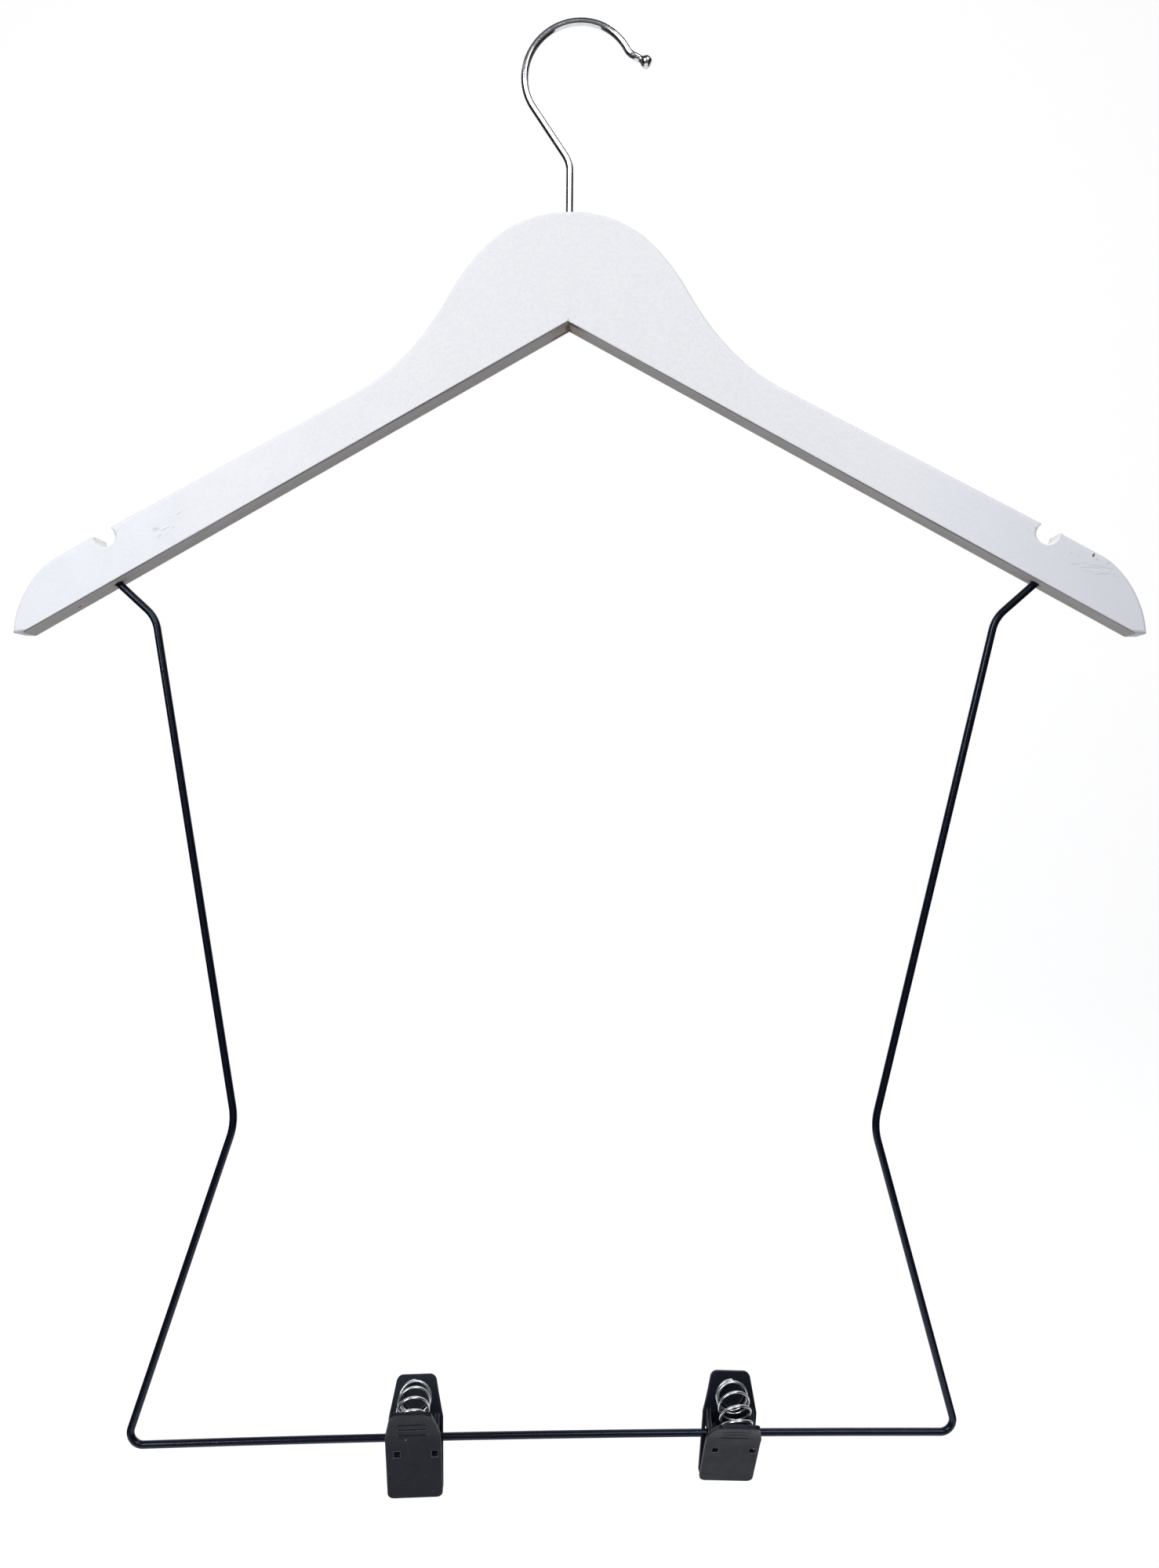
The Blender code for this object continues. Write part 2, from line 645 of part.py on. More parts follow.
def eye_profile(side):
    """An eye and the web that carries it, from the side, as (y, z)."""
    steps = ROUND_SIDES // 2
    arc = [EYE_ROUND_FROM + 2 * (pi - EYE_ROUND_FROM) * i / steps for i in range(steps + 1)]
    points = [(side * eye_radius() * cos(a), eye_radius() * sin(a)) for a in arc]
    for rise in (-EYE_WEB_DROP, EYE_WEB_RISE):
        place, outward, _ = on_plate(JAW_LENGTH + rise)
        sunk = place - outward * (PLATE_THICKNESS / 2)
        points.append((side * sunk.x, sunk.y))
    return points


def add_eyes(obj, side):
    place = EYE_PLACE if side > 0 else EYE_PLACE - EYE_THICKNESS - EYE_SIDE_GAP
    bm = bmesh.new()
    for middle in (-place, place):
        start = middle - EYE_THICKNESS / 2
        face = bm.faces.new([bm.verts.new((start, y, z)) for y, z in eye_profile(side)])
        made = bmesh.ops.extrude_face_region(bm, geom=[face])
        moved = [v for v in made["geom"] if isinstance(v, bmesh.types.BMVert)]
        bmesh.ops.translate(bm, verts=moved, vec=(EYE_THICKNESS, 0, 0))
    combine(obj, object_from(bm, obj.name + "_eyes"), "UNION")
    reach, radius = CLIP_WIDTH / 2 + CUT_OVERRUN, FRAME_WIRE / 2 + BAR_PLAY
    combine(obj, cylinder(obj.name + "_bore", radius, (-reach, 0, 0), (reach, 0, 0)), "DIFFERENCE")


def seat_place():
    """The middle of the spring's seat on the inner face, and the directions outward and up the plate."""
    place, outward, up = on_plate(plate_length() - SPRING_SEAT_FROM_TOP)
    return place - outward * PLATE_THICKNESS, outward, up


def add_boss(obj, side):
    seat, outward, _ = seat_place()
    root, end = seat + outward * UNION_SINK, seat - outward * BOSS_HEIGHT
    ends = [(0, side * p.x, p.y) for p in (root, end)]
    combine(obj, cylinder(obj.name + "_boss", BOSS_RADIUS, *ends), "UNION")


def cut_flat(obj, name, side, distance, across, size, depth):
    """A rectangular cut in the plate's outer face. size is (width, length up the plate)."""
    place, outward, up = on_plate(distance)
    middle = Vector((across, side * place.x, place.y))
    out, along = Vector((0, side * outward.x, outward.y)), Vector((0, side * up.x, up.y))
    frame = Matrix((Vector((1, 0, 0)), along, out)).transposed().to_4x4()
    bm = bmesh.new()
    scale = Matrix.Diagonal((*size, depth + CUT_OVERRUN, 1.0))
    shift = Matrix.Translation(middle + out * (CUT_OVERRUN - depth) / 2)
    bmesh.ops.create_cube(bm, size=1.0, matrix=shift @ frame @ scale)
    combine(obj, object_from(bm, name), "DIFFERENCE")


def add_cuts(obj, side):
    window = JAW_LENGTH - WINDOW_BELOW_BAR
    for i, across in enumerate((-WINDOW_SPACING / 2, WINDOW_SPACING / 2)):
        size = (WINDOW_SIDE, WINDOW_SIDE)
        depth = PLATE_THICKNESS + CUT_OVERRUN
        cut_flat(obj, f"{obj.name}_window_{i}", side, window, across, size, depth)
    for i in range(GRIP_LINE_COUNT):
        distance = plate_length() - GRIP_FIRST_FROM_TOP - GRIP_LINE_PITCH * i
        size = (GRIP_LINE_LENGTH, GRIP_LINE_WIDTH)
        cut_flat(obj, f"{obj.name}_grip_{i}", side, distance, 0.0, size, GRIP_LINE_DEPTH)


def make_plate(name, side, finish):
    obj = plate_blank(name, side, finish)
    add_boss(obj, side)
    add_eyes(obj, side)
    add_cuts(obj, side)
    return obj


def spring_arc():
    """The spring's curved axis: height of its centre, radius, and half the angle between its ends."""
    seat, _, up = seat_place()
    lean = atan2(up.x, up.y)
    radius = seat.x / sin(lean)
    clearance = SPRING_WIRE / 2 + SEAT_GAP
    return seat.y - seat.x / tan(lean), radius, lean - clearance / (radius - SPRING_RADIUS)


def coil_angle(turn, half_angle, end_pitch):
    """How far round its axis the spring is after this many turns, from the front end coil."""
    turns = 2 * SPRING_END_TURNS + SPRING_ACTIVE_TURNS
    active_pitch = (2 * half_angle - 2 * SPRING_END_TURNS * end_pitch) / SPRING_ACTIVE_TURNS
    first = min(turn, SPRING_END_TURNS)
    last = max(0.0, turn - (turns - SPRING_END_TURNS))
    return -half_angle + (first + last) * end_pitch + (turn - first - last) * active_pitch


def spring_points():
    centre_height, radius, half_angle = spring_arc()
    end_pitch = SPRING_END_PITCH / (radius - SPRING_RADIUS)
    turns = 2 * SPRING_END_TURNS + SPRING_ACTIVE_TURNS
    points = []
    for i in range(turns * SPRING_POINTS_PER_TURN + 1):
        turn = i / SPRING_POINTS_PER_TURN
        angle = coil_angle(turn, half_angle, end_pitch)
        wind = 2 * pi * turn - pi / 2
        reach = radius + SPRING_RADIUS * sin(wind)
        across, height = reach * sin(angle), centre_height + reach * cos(angle)
        points.append(Vector((SPRING_RADIUS * cos(wind), across, height)))
    straight = [(points[0] - points[1]).normalized(), (points[-1] - points[-2]).normalized()]
    return [points[0] + straight[0] * SPRING_WIRE, *points, points[-1] + straight[1] * SPRING_WIRE]


def least_gap(points, diameter):
    """The smallest free gap between stretches of the wire that lie more than half a turn apart."""
    apart = SPRING_POINTS_PER_TURN // 2 * GAP_SAMPLES
    fine = [a.lerp(b, i / GAP_SAMPLES) for a, b in zip(points, points[1:]) for i in range(GAP_SAMPLES)]
    pairs = ((p, q) for i, p in enumerate(fine) for q in fine[i + apart :])
    return min((p - q).length for p, q in pairs) - diameter


def add_pivot(name, place):
    pivot = add_object(name, None)
    pivot.matrix_world = place
    return pivot


def make_clip(name, plastic, steel):
    along, turn, roll = CLIPS[name]
    twist = Matrix.Rotation(FRAME_TWIST, 4, "Z")
    lean = Matrix.Rotation(roll, 4, "Y") @ Matrix.Rotation(turn, 4, "X")
    pivot = add_pivot(name + "_pivot", Matrix.Translation(bar_place(along)) @ twist @ lean)
    front = make_plate(name + "_front_plate", -1, plastic)
    rear = make_plate(name + "_rear_plate", 1, plastic)
    spring = wire(name + "_spring", spring_points(), SPRING_WIRE, steel, SPRING_BEVEL_STEPS)
    helpers = [step.object for plate in (front, rear) for step in plate.modifiers if step.type == "BOOLEAN"]
    for obj in (front, rear, spring, *helpers):
        obj.parent = pivot


def main():
    start_clean()
    paint = material("white_paint", (0.86, 0.87, 0.9), 0.45, 0.0)
    chrome = material("chrome_steel", (0.78, 0.78, 0.8), 0.12, 1.0)
    steel = material("zinc_steel", (0.62, 0.63, 0.65), 0.35, 1.0)
    black = material("black_coating", (0.012, 0.013, 0.018), 0.3, 0.0)
    plastic = material("charcoal_plastic", (0.035, 0.035, 0.045), 0.5, 0.0)
    spring_steel = material("spring_steel", (0.8, 0.8, 0.82), 0.18, 1.0)
    make_hook(chrome)
    washer, _ = make_swivel(steel)
    swivelling = [*make_wood(paint), washer, wire("wire_frame", frame_points(), FRAME_WIRE, black)]
    swivel = add_pivot("hook_swivel_pivot", Matrix.Translation((SHANK_X, 0, WOOD_TOP)))
    for obj in swivelling:
        obj.parent = swivel
        obj.matrix_parent_inverse = swivel.matrix_world.inverted()
    for name in CLIPS:
        make_clip(name, plastic, spring_steel)
    print(f"least gap between the spring's turns: {least_gap(spring_points(), SPRING_WIRE) / MM:.2f} mm")


main()
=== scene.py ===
"""Looks of the clip hanger: painted wood, chromed hook, coated frame and two spring clips."""

import json
from math import cos, pi, radians, sin, tan

import bmesh
import bpy
from mathutils import Matrix, Vector
from mathutils.geometry import interpolate_bezier


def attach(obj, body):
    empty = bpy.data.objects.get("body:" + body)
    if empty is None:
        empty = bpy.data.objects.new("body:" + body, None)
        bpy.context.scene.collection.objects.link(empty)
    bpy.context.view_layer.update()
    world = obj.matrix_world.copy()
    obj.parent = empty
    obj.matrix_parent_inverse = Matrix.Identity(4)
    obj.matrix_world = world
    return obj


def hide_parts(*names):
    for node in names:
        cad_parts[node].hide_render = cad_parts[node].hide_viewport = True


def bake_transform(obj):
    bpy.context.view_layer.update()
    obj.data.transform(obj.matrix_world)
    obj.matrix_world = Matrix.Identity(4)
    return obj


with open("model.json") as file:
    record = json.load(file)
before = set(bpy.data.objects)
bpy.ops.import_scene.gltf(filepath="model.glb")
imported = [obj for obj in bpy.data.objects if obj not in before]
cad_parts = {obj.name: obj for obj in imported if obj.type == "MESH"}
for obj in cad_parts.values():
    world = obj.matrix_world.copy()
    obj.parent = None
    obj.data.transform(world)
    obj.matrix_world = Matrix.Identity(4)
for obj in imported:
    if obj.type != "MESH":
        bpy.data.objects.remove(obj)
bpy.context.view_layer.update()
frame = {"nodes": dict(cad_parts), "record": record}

MM = 0.001
ACROSS, BACK, UP = Vector((1, 0, 0)), Vector((0, 1, 0)), Vector((0, 0, 1))

# The photograph's camera
CAMERA_PLACE = Vector((25.68, -459.4, -301.64)) * MM
CAMERA_TURN = radians(2.92)
CAMERA_ROLL = radians(0.424)
FILM_HEIGHT = 24.0
FOCAL_LENGTH = 1475.5 / 2000 * FILM_HEIGHT

# Stage, in metres
WALL_WIDTH, WALL_TOP, WALL_BEHIND = 1.7, 0.75, 0.9
FLOOR_LEVEL, FLOOR_FRONT, COVE_RADIUS = -0.95, -0.7, 0.4
CARD_LENGTH, CARD_HEIGHT = 1.3, 1.6
CARD_PLACES = {"left_card": (-0.8, -0.25, -0.2), "right_card": (0.8, -0.25, -0.2)}
TOP_CARD_SIZE, TOP_CARD_PLACE = (0.9, 0.35), (0.0, -0.12, 0.4)
STAGE_GREY, STAGE_DULL = (0.7, 0.7, 0.7, 1), 0.9
STAGE_GLOW = 0.55  # what the stage adds to its own light, for the camera and in reflections only
CARD_BLACK = (0.01, 0.01, 0.01, 1), (0.02, 0.02, 0.02, 1)
LAMPS = {  # place, aim, width and watts
    "window": ((-0.9, -1.45, 0.45), (0, 0, -0.25), 1.0, 19),
    "ceiling": ((0.6, -1.2, 0.85), (0, 0, -0.3), 1.0, 9.8),
    "back_light": ((0.5, 1.3, 1.2), (0, 0, -0.3), 0.8, 7),
}
ROOM_BELOW, ROOM_LEVEL = (0.1, 0.09, 0.085, 1), (0.22, 0.22, 0.23, 1)  # the room's own light
ROOM_ABOVE = (0.42, 0.44, 0.47, 1)

# Wood
SEAM_X = -3.4 * MM
APEX_HEIGHT = -120.0 * MM
UNDER_SLOPE = radians(29.2)
GRAIN_SLOPE = radians(28.6)
WOOD_FRONT = -6.0 * MM
ARM_DEPTH, UPPER_SLOPE = 22.8 * MM, radians(28.1)
NOTCH_PLACE, NOTCH_RADIUS, NOTCH_SINK = 186.9 * MM, 4.2 * MM, 2.4 * MM
HAIRLINE = 0.015 * MM  # the closed joint
SEAM_REACH = 0.2 * MM  # vertices this near the seam belong to the joint's faces
JOINT_EDGE = 0.6 * MM  # how far the underside's rounding rises over the apex
TONGUE_REACH, TONGUE_HALF, SLOT_PLAY = 7.0 * MM, 3.2 * MM, 0.3 * MM

# Hook
HOOK_WIRE = 3.0 * MM
CROWN_RADIUS = 21.7 * MM
LEG_LEAN, LEG_BEND = radians(33.5), 12.0 * MM
MOUTH_ANGLE = radians(28.0)
FLARE_RADIUS, FLARE_SWEEP, TIP_RUN = 6.0 * MM, radians(34.0), 2.8 * MM
SHANK_END = -103.7 * MM
BULB_STRETCH = 1.35
BULB = (  # the bulb's rings: step in millimetres before stretching, and size over the wire's
    (0.5, 0.94), (0.4, 1.2), (0.5, 1.52), (0.6, 1.68),
    (0.6, 1.66), (0.5, 1.46), (0.35, 1.1), (0.15, 0.6),
)

# Wire frame
FRAME_WIRE = 3.0 * MM
FRAME_SHIFT, FRAME_SWAY, FRAME_TWIST = 0.4 * MM, 5.7 * MM, radians(5.3)
HOLE_PLACE, HOLE_DEPTH, ENTRY_SLOPE = 182.4 * MM, 11.7 * MM, radians(42.0)
SHOULDER_HALF, WAIST_HALF, FOOT_HALF = 167.2 * MM, 127.1 * MM, 165.3 * MM
WAIST_DROP, BAR_DROP = 317.1 * MM, 441.5 * MM
SHOULDER_BEND, WAIST_BEND, FOOT_BEND = 14.0 * MM, 25.0 * MM, 5.0 * MM
BAR_BOW, BAR_BEND = 1.4 * MM, 9.0  # the bar's middle over its ends, and its radius in metres
BOW_UNDER = 0.55  # the share of the bow by which the ends lie under the straight bar

# Clips, in a clip's own frame: the bar along X through the origin, the front plate at -Y
CLIP_TURNS = {  # about the bar, then in the picture's plane
    "left_clip": (radians(3.5), radians(-1.2)),
    "right_clip": (radians(19.3), radians(2.2)),
}
JAW_WIDTH, HANDLE_WIDTH, PLATE_THICKNESS = 21.8 * MM, 15.3 * MM, 1.7 * MM
JAW_TIP = Vector((0, 1.903, -23.191)) * MM  # the outer face, at the jaw's end
JAW_BEND = Vector((0, 5.7, 0)) * MM
HANDLE_TOP = Vector((0, 14.2, 18.1)) * MM
JAW_LEAN, HANDLE_LEAN = radians(9.3), radians(34.0)
BEND_LEADS = (6.5 * MM, 4.2 * MM)
HANDLE_FLAT = 2.7 * MM  # straight at the top, for the rounded corners
BEND_ROWS, TAPER_ROW = 9, 3
JAW_CORNER, HANDLE_CORNER, CORNER_STEPS = 2.4 * MM, 2.2 * MM, 6
PLATE_EDGE, PLATE_SOFT_EDGE = 0.28 * MM, 0.1 * MM
GRIP_LINES, GRIP_PITCH, GRIP_FROM_TOP = 3, 3.3 * MM, 7.2 * MM
GRIP_SIZE = (11.5 * MM, 0.7 * MM, 0.35 * MM)  # laid on its edge, so that it cuts a V
WINDOW_WIDTH, WINDOW_HEIGHT, WINDOW_PLACE = 2.5 * MM, 2.9 * MM, 7.4 * MM
WINDOW_SHIFT, WINDOW_DROP, REAR_WINDOW_RISE = 0.9 * MM, 3.1 * MM, 0.6 * MM
FRONT_FLECK = (-63.14, -12.5, -558.2)  # a pale fleck on the left clip, in millimetres
EYE_RADIUS, BAR_BORE, EYE_THICKNESS = 3.8 * MM, 2.7 * MM, 1.4 * MM
EYE_PLACES = {"rear": 8.7 * MM, "front": 6.9 * MM}
WEB_RISE, WEB_DROP = 7.0 * MM, 3.4 * MM
BOSS_RADIUS, BOSS_HEIGHT, BOSS_ROOT, SEAT_FROM_TOP = 5.0 * MM, 1.2 * MM, 0.5 * MM, 7.9 * MM
SPRING_WIRE, SPRING_RADIUS, SPRING_SIDES = 0.95 * MM, 6.05 * MM, 12
SPRING_ARC_RADIUS = 17.579 * MM
SPRING_ARC_HEIGHT = -3.141 * MM  # the middle of the arc, from the bar's centre
SPRING_STEPS, SPRING_EASE = 36, 6  # rings to a turn, and how many to each side even out the pitch
SPRING_ANGLES = (-27.0, -26.6, -12.6, 2.2, 17.6, 21.2)  # of the arc: the front end, then each top

WELD = 0.002 * MM
LONGEST_STEP = 30.0 * MM  # along a slack bend
FLAT_ANGLE = radians(0.4)
SHARP_ANGLE = radians(55.0)


# Camera, lamps and stage


def link(name, data):
    obj = bpy.data.objects.new(name, data)
    bpy.context.scene.collection.objects.link(obj)
    return obj


def aim_camera():
    data = bpy.data.cameras.new("camera")
    data.sensor_fit, data.sensor_height, data.lens = "VERTICAL", FILM_HEIGHT, FOCAL_LENGTH
    data.clip_start = 0.01
    ahead = Vector((-sin(CAMERA_TURN), cos(CAMERA_TURN), 0))
    level = Vector((cos(CAMERA_TURN), sin(CAMERA_TURN), 0))
    right = level * cos(CAMERA_ROLL) + UP * sin(CAMERA_ROLL)
    over = UP * cos(CAMERA_ROLL) - level * sin(CAMERA_ROLL)
    camera = link("camera", data)
    turn = Matrix((right, over, -ahead)).transposed().to_4x4()
    camera.matrix_world = Matrix.Translation(CAMERA_PLACE) @ turn
    bpy.context.scene.camera = camera


def lamp(name, place, aim, size, watts):
    data = bpy.data.lights.new(name, "AREA")
    data.shape, data.size, data.energy = "DISK", size, watts
    heading = (Vector(aim) - Vector(place)).to_track_quat("-Z", "Y").to_matrix().to_4x4()
    link(name, data).matrix_world = Matrix.Translation(place) @ heading


def light_room():
    """Soft daylight from the front left and above, with a dim floor for the metal to show."""
    for name, about in LAMPS.items():
        lamp(name, *about)
    world = bpy.data.worlds.new("room")
    world.use_nodes = True
    tree = world.node_tree
    toward = put(tree, "TexCoord").outputs["Generated"]
    height = put(tree, "SeparateXYZ", {0: toward}).outputs["Z"]
    lower = mix(tree, remap(tree, height, -0.6, 0.05), ROOM_BELOW, ROOM_LEVEL)
    sky = mix(tree, remap(tree, height, 0.05, 0.9), lower, ROOM_ABOVE)
    tree.links.new(sky, tree.nodes["Background"].inputs["Color"])
    tree.nodes["Background"].inputs["Strength"].default_value = 1.0
    bpy.context.scene.world = world


def stage_white():
    """Pale grey for light that bounces, near white for the camera and in metal, shadows kept."""
    made, tree, sockets = finish("stage_white")
    sockets["Base Color"].default_value = STAGE_GREY
    sockets["Roughness"].default_value = STAGE_DULL
    rays = put(tree, "LightPath").outputs
    seen = larger(tree, rays["Is Camera Ray"], rays["Is Glossy Ray"])
    seen = larger(tree, seen, rays["Is Transmission Ray"])
    glow = put(tree, "Emission", {"Strength": times(tree, seen, STAGE_GLOW)})
    paint = tree.nodes["Principled BSDF"]
    both = put(tree, "AddShader", {0: paint.outputs[0], 1: glow.outputs[0]})
    tree.links.new(both.outputs[0], tree.nodes["Material Output"].inputs["Surface"])
    return made


def build_stage():
    """A floor that curves up into a wall."""
    bm = bmesh.new()
    bmesh.ops.create_grid(bm, x_segments=1, y_segments=1, size=0.5)
    depth = WALL_BEHIND - COVE_RADIUS - FLOOR_FRONT
    bmesh.ops.scale(bm, vec=(WALL_WIDTH, depth, 1), verts=bm.verts)
    middle = (WALL_BEHIND - COVE_RADIUS + FLOOR_FRONT) / 2
    bmesh.ops.translate(bm, vec=(0, middle, FLOOR_LEVEL), verts=bm.verts)
    far = max(v.co.y for v in bm.verts)
    edge = [e for e in bm.edges if all(v.co.y > far - WELD for v in e.verts)]
    edge += [v for e in edge for v in e.verts]
    centre = (0, far, FLOOR_LEVEL + COVE_RADIUS)
    made = bmesh.ops.spin(bm, geom=edge, cent=centre, axis=ACROSS, angle=pi / 2, steps=24)
    rise = UP * (WALL_TOP - FLOOR_LEVEL - COVE_RADIUS)
    draw_straight(bm, made["geom_last"], rise)
    bmesh.ops.recalc_face_normals(bm, faces=bm.faces)
    as_object(bm, "stage", stage_white())


def hang_card(name, place, size, upright):
    """A dark card outside the picture, seen only in metal, for the chrome's dark lines."""
    bm = bmesh.new()
    bmesh.ops.create_grid(bm, x_segments=1, y_segments=1, size=0.5)
    bmesh.ops.scale(bm, vec=(*size, 1), verts=bm.verts)
    for axis in "XZ" if upright else "":
        turn = Matrix.Rotation(pi / 2, 3, axis)
        bmesh.ops.rotate(bm, verts=bm.verts, cent=(0, 0, 0), matrix=turn)
    bmesh.ops.translate(bm, vec=place, verts=bm.verts)
    made, tree, sockets = finish("card_black")
    colour = mix(tree, noise(tree, here(tree), 40.0), *CARD_BLACK)
    tree.links.new(colour, sockets["Base Color"])
    sockets["Roughness"].default_value = STAGE_DULL
    card = as_object(bm, name, made)
    card.visible_camera = card.visible_diffuse = card.visible_shadow = False


# Nodes

USUAL = 0.3, 0.7  # where nearly all of a noise's values lie


def put(tree, kind, inputs=None, **settings):
    """A node with its settings, its inputs linked or set."""
    made = tree.nodes.new("ShaderNode" + kind)
    for key, value in settings.items():
        setattr(made, key, value)
    for key, value in (inputs or {}).items():
        if isinstance(value, bpy.types.NodeSocket):
            tree.links.new(value, made.inputs[key])
        else:
            made.inputs[key].default_value = value
    return made


def maths(tree, operation, a, b=0.0):
    return put(tree, "Math", {0: a, 1: b}, operation=operation).outputs[0]


def plus(tree, a, b):
    return maths(tree, "ADD", a, b)


def less(tree, a, b):
    return maths(tree, "SUBTRACT", a, b)


def times(tree, a, b):
    return maths(tree, "MULTIPLY", a, b)


def larger(tree, a, b):
    return maths(tree, "MAXIMUM", a, b)


def remap(tree, value, low, high, to_low=0.0, to_high=1.0):
    """The value from low to high becomes to_low to to_high, and stays within them."""
    inputs = {"Value": value, "From Min": low, "From Max": high}
    return put(tree, "MapRange", inputs | {"To Min": to_low, "To Max": to_high}).outputs["Result"]


def mix(tree, share, first, second):
    return put(tree, "Mix", {0: share, 6: first, 7: second}, data_type="RGBA").outputs[2]


def here(tree):
    return put(tree, "TexCoord").outputs["Object"]


def scaled(tree, vector, amounts):
    return put(tree, "VectorMath", {0: vector, 1: amounts}, operation="MULTIPLY").outputs[0]


def noise(tree, vector, scale, detail=3.0, roughness=0.5):
    inputs = {"Vector": vector, "Scale": scale, "Detail": detail, "Roughness": roughness}
    return put(tree, "TexNoise", inputs).outputs[0]


def effect(name, inputs, outputs):
    """An empty node group. inputs maps each name to its default, a number or a vector."""
    tree = bpy.data.node_groups.new(name, "ShaderNodeTree")
    for key, value in inputs.items():
        kind = "NodeSocketVector" if isinstance(value, tuple) else "NodeSocketFloat"
        tree.interface.new_socket(key, in_out="INPUT", socket_type=kind).default_value = value
    for key in outputs:
        tree.interface.new_socket(key, in_out="OUTPUT", socket_type="NodeSocketFloat")
    given, out = tree.nodes.new("NodeGroupInput"), tree.nodes.new("NodeGroupOutput")
    return tree, given.outputs, out.inputs


def use(tree, group, inputs=None):
    return put(tree, "Group", inputs, node_tree=group).outputs


def grain_effect():
    """Long streaks and short pores that run along an arm."""
    tree, given, out = effect("wood_grain", {"Slope": 0.0}, ["Streaks", "Pores"])
    inputs = {"Vector": here(tree), "Angle": given["Slope"]}
    along = put(tree, "VectorRotate", inputs, rotation_type="Y_AXIS").outputs[0]
    tree.links.new(noise(tree, scaled(tree, along, (14, 300, 700)), 1.0, 5, 0.6), out["Streaks"])
    pores = noise(tree, scaled(tree, along, (90, 1100, 2600)), 1.0, 2, 0.5)
    tree.links.new(remap(tree, pores, 0.62, 0.72), out["Pores"])
    return tree


def mark_effect():
    """One rough-edged spot, such as a dent, chip, scratch or knot."""
    inputs = {"Middle": (0.0, 0.0, 0.0), "Length": 2.0 * MM, "Width": 1.0 * MM, "Depth": 2.4 * MM}
    inputs |= {"Turn": 0.0, "Raggedness": 0.5}
    tree, given, out = effect("single_mark", inputs, ["Mask"])
    inputs = {0: here(tree), 1: given["Middle"]}
    away = put(tree, "VectorMath", inputs, operation="SUBTRACT").outputs[0]
    inputs = {"Vector": away, "Angle": given["Turn"]}
    turned = put(tree, "VectorRotate", inputs, rotation_type="Y_AXIS").outputs[0]
    parts = put(tree, "SeparateXYZ", {0: turned}).outputs
    long = maths(tree, "DIVIDE", parts["X"], times(tree, given["Length"], 0.5))
    wide = maths(tree, "DIVIDE", parts["Z"], times(tree, given["Width"], 0.5))
    deep = maths(tree, "DIVIDE", parts["Y"], times(tree, given["Depth"], 0.5))
    total = plus(tree, times(tree, long, long), times(tree, wide, wide))
    total = plus(tree, total, times(tree, deep, deep))
    rough = less(tree, noise(tree, here(tree), 2600.0, 3, 0.6), 0.5)
    wobble = times(tree, rough, times(tree, given["Raggedness"], 4.0))
    edge = plus(tree, total, wobble)
    tree.links.new(remap(tree, edge, 1.1, 0.7), out["Mask"])
    return tree


def speck_effect():
    """Scattered small specks of dust or grit."""
    tree, given, out = effect("specks", {"Spacing": 0.004, "Size": 0.12, "Share": 0.5}, ["Mask"])
    density = maths(tree, "DIVIDE", 1.0, given["Spacing"])
    cells = put(tree, "TexVoronoi", {"Vector": here(tree), "Scale": density}).outputs
    chance = put(tree, "SeparateXYZ", {0: cells["Color"]}).outputs["X"]
    chosen = maths(tree, "LESS_THAN", chance, given["Share"])
    near = remap(tree, cells["Distance"], given["Size"], times(tree, given["Size"], 0.5))
    tree.links.new(times(tree, near, chosen), out["Mask"])
    return tree


def scratch_effect():
    """Fine scratches, mostly in one direction."""
    tree, given, out = effect("scratches", {"Turn": 0.0, "Fineness": 1.0, "Cover": 0.5}, ["Mask"])
    inputs = {"Vector": here(tree), "Angle": given["Turn"]}
    turned = put(tree, "VectorRotate", inputs, rotation_type="Y_AXIS").outputs[0]
    drawn = noise(tree, scaled(tree, turned, (60, 500, 900)), given["Fineness"], 2, 0.5)
    line = remap(tree, maths(tree, "ABSOLUTE", less(tree, drawn, 0.5)), 0.012, 0.002)
    broken = noise(tree, here(tree), 240.0, 2, 0.5)
    gate = maths(tree, "LESS_THAN", broken, given["Cover"])
    tree.links.new(times(tree, line, gate), out["Mask"])
    return tree


def edge_wear_and_highlight_effect():
    """Near a rounded or sharp edge, broken up by noise: rubbing and painted edge highlights."""
    tree, given, out = effect("edge_wear_and_highlight", {"Reach": 0.0004, "Patchiness": 0.5}, ["Mask"])
    soft = put(tree, "Bevel", {"Radius": given["Reach"]}, samples=6).outputs[0]
    true = put(tree, "NewGeometry").outputs["Normal"]
    agree = put(tree, "VectorMath", {0: soft, 1: true}, operation="DOT_PRODUCT").outputs["Value"]
    edge = remap(tree, agree, 0.995, 0.85)
    patches = times(tree, noise(tree, here(tree), 900.0, 4, 0.6), given["Patchiness"])
    tree.links.new(times(tree, edge, less(tree, 1.0, patches)), out["Mask"])
    return tree


GRAIN, MARK, SPECKS = grain_effect(), mark_effect(), speck_effect()
SCRATCHES, EDGE_WEAR_AND_HIGHLIGHT = scratch_effect(), edge_wear_and_highlight_effect()


# Finishes


def finish(name, metallic=0.0, shine=0.5):
    made = bpy.data.materials.new(name)
    made.use_nodes = True
    shader = made.node_tree.nodes["Principled BSDF"]
    shader.inputs["Metallic"].default_value = metallic
    shader.inputs["Specular IOR Level"].default_value = shine
    return made, made.node_tree, shader.inputs


def bump(tree, sockets, height, distance, strength=1.0):
    inputs = {"Height": height, "Distance": distance, "Strength": strength}
    tree.links.new(put(tree, "Bump", inputs).outputs[0], sockets["Normal"])


def spot(tree, x, z, length, width, turn=0.0, raggedness=0.5):
    """The mask of one mark on the front of the wood, from its place in millimetres."""
    middle = (x * MM, WOOD_FRONT, z * MM)
    inputs = {"Middle": middle, "Length": length * MM, "Width": width * MM, "Turn": radians(turn)}
    return use(tree, MARK, inputs | {"Raggedness": raggedness})["Mask"]


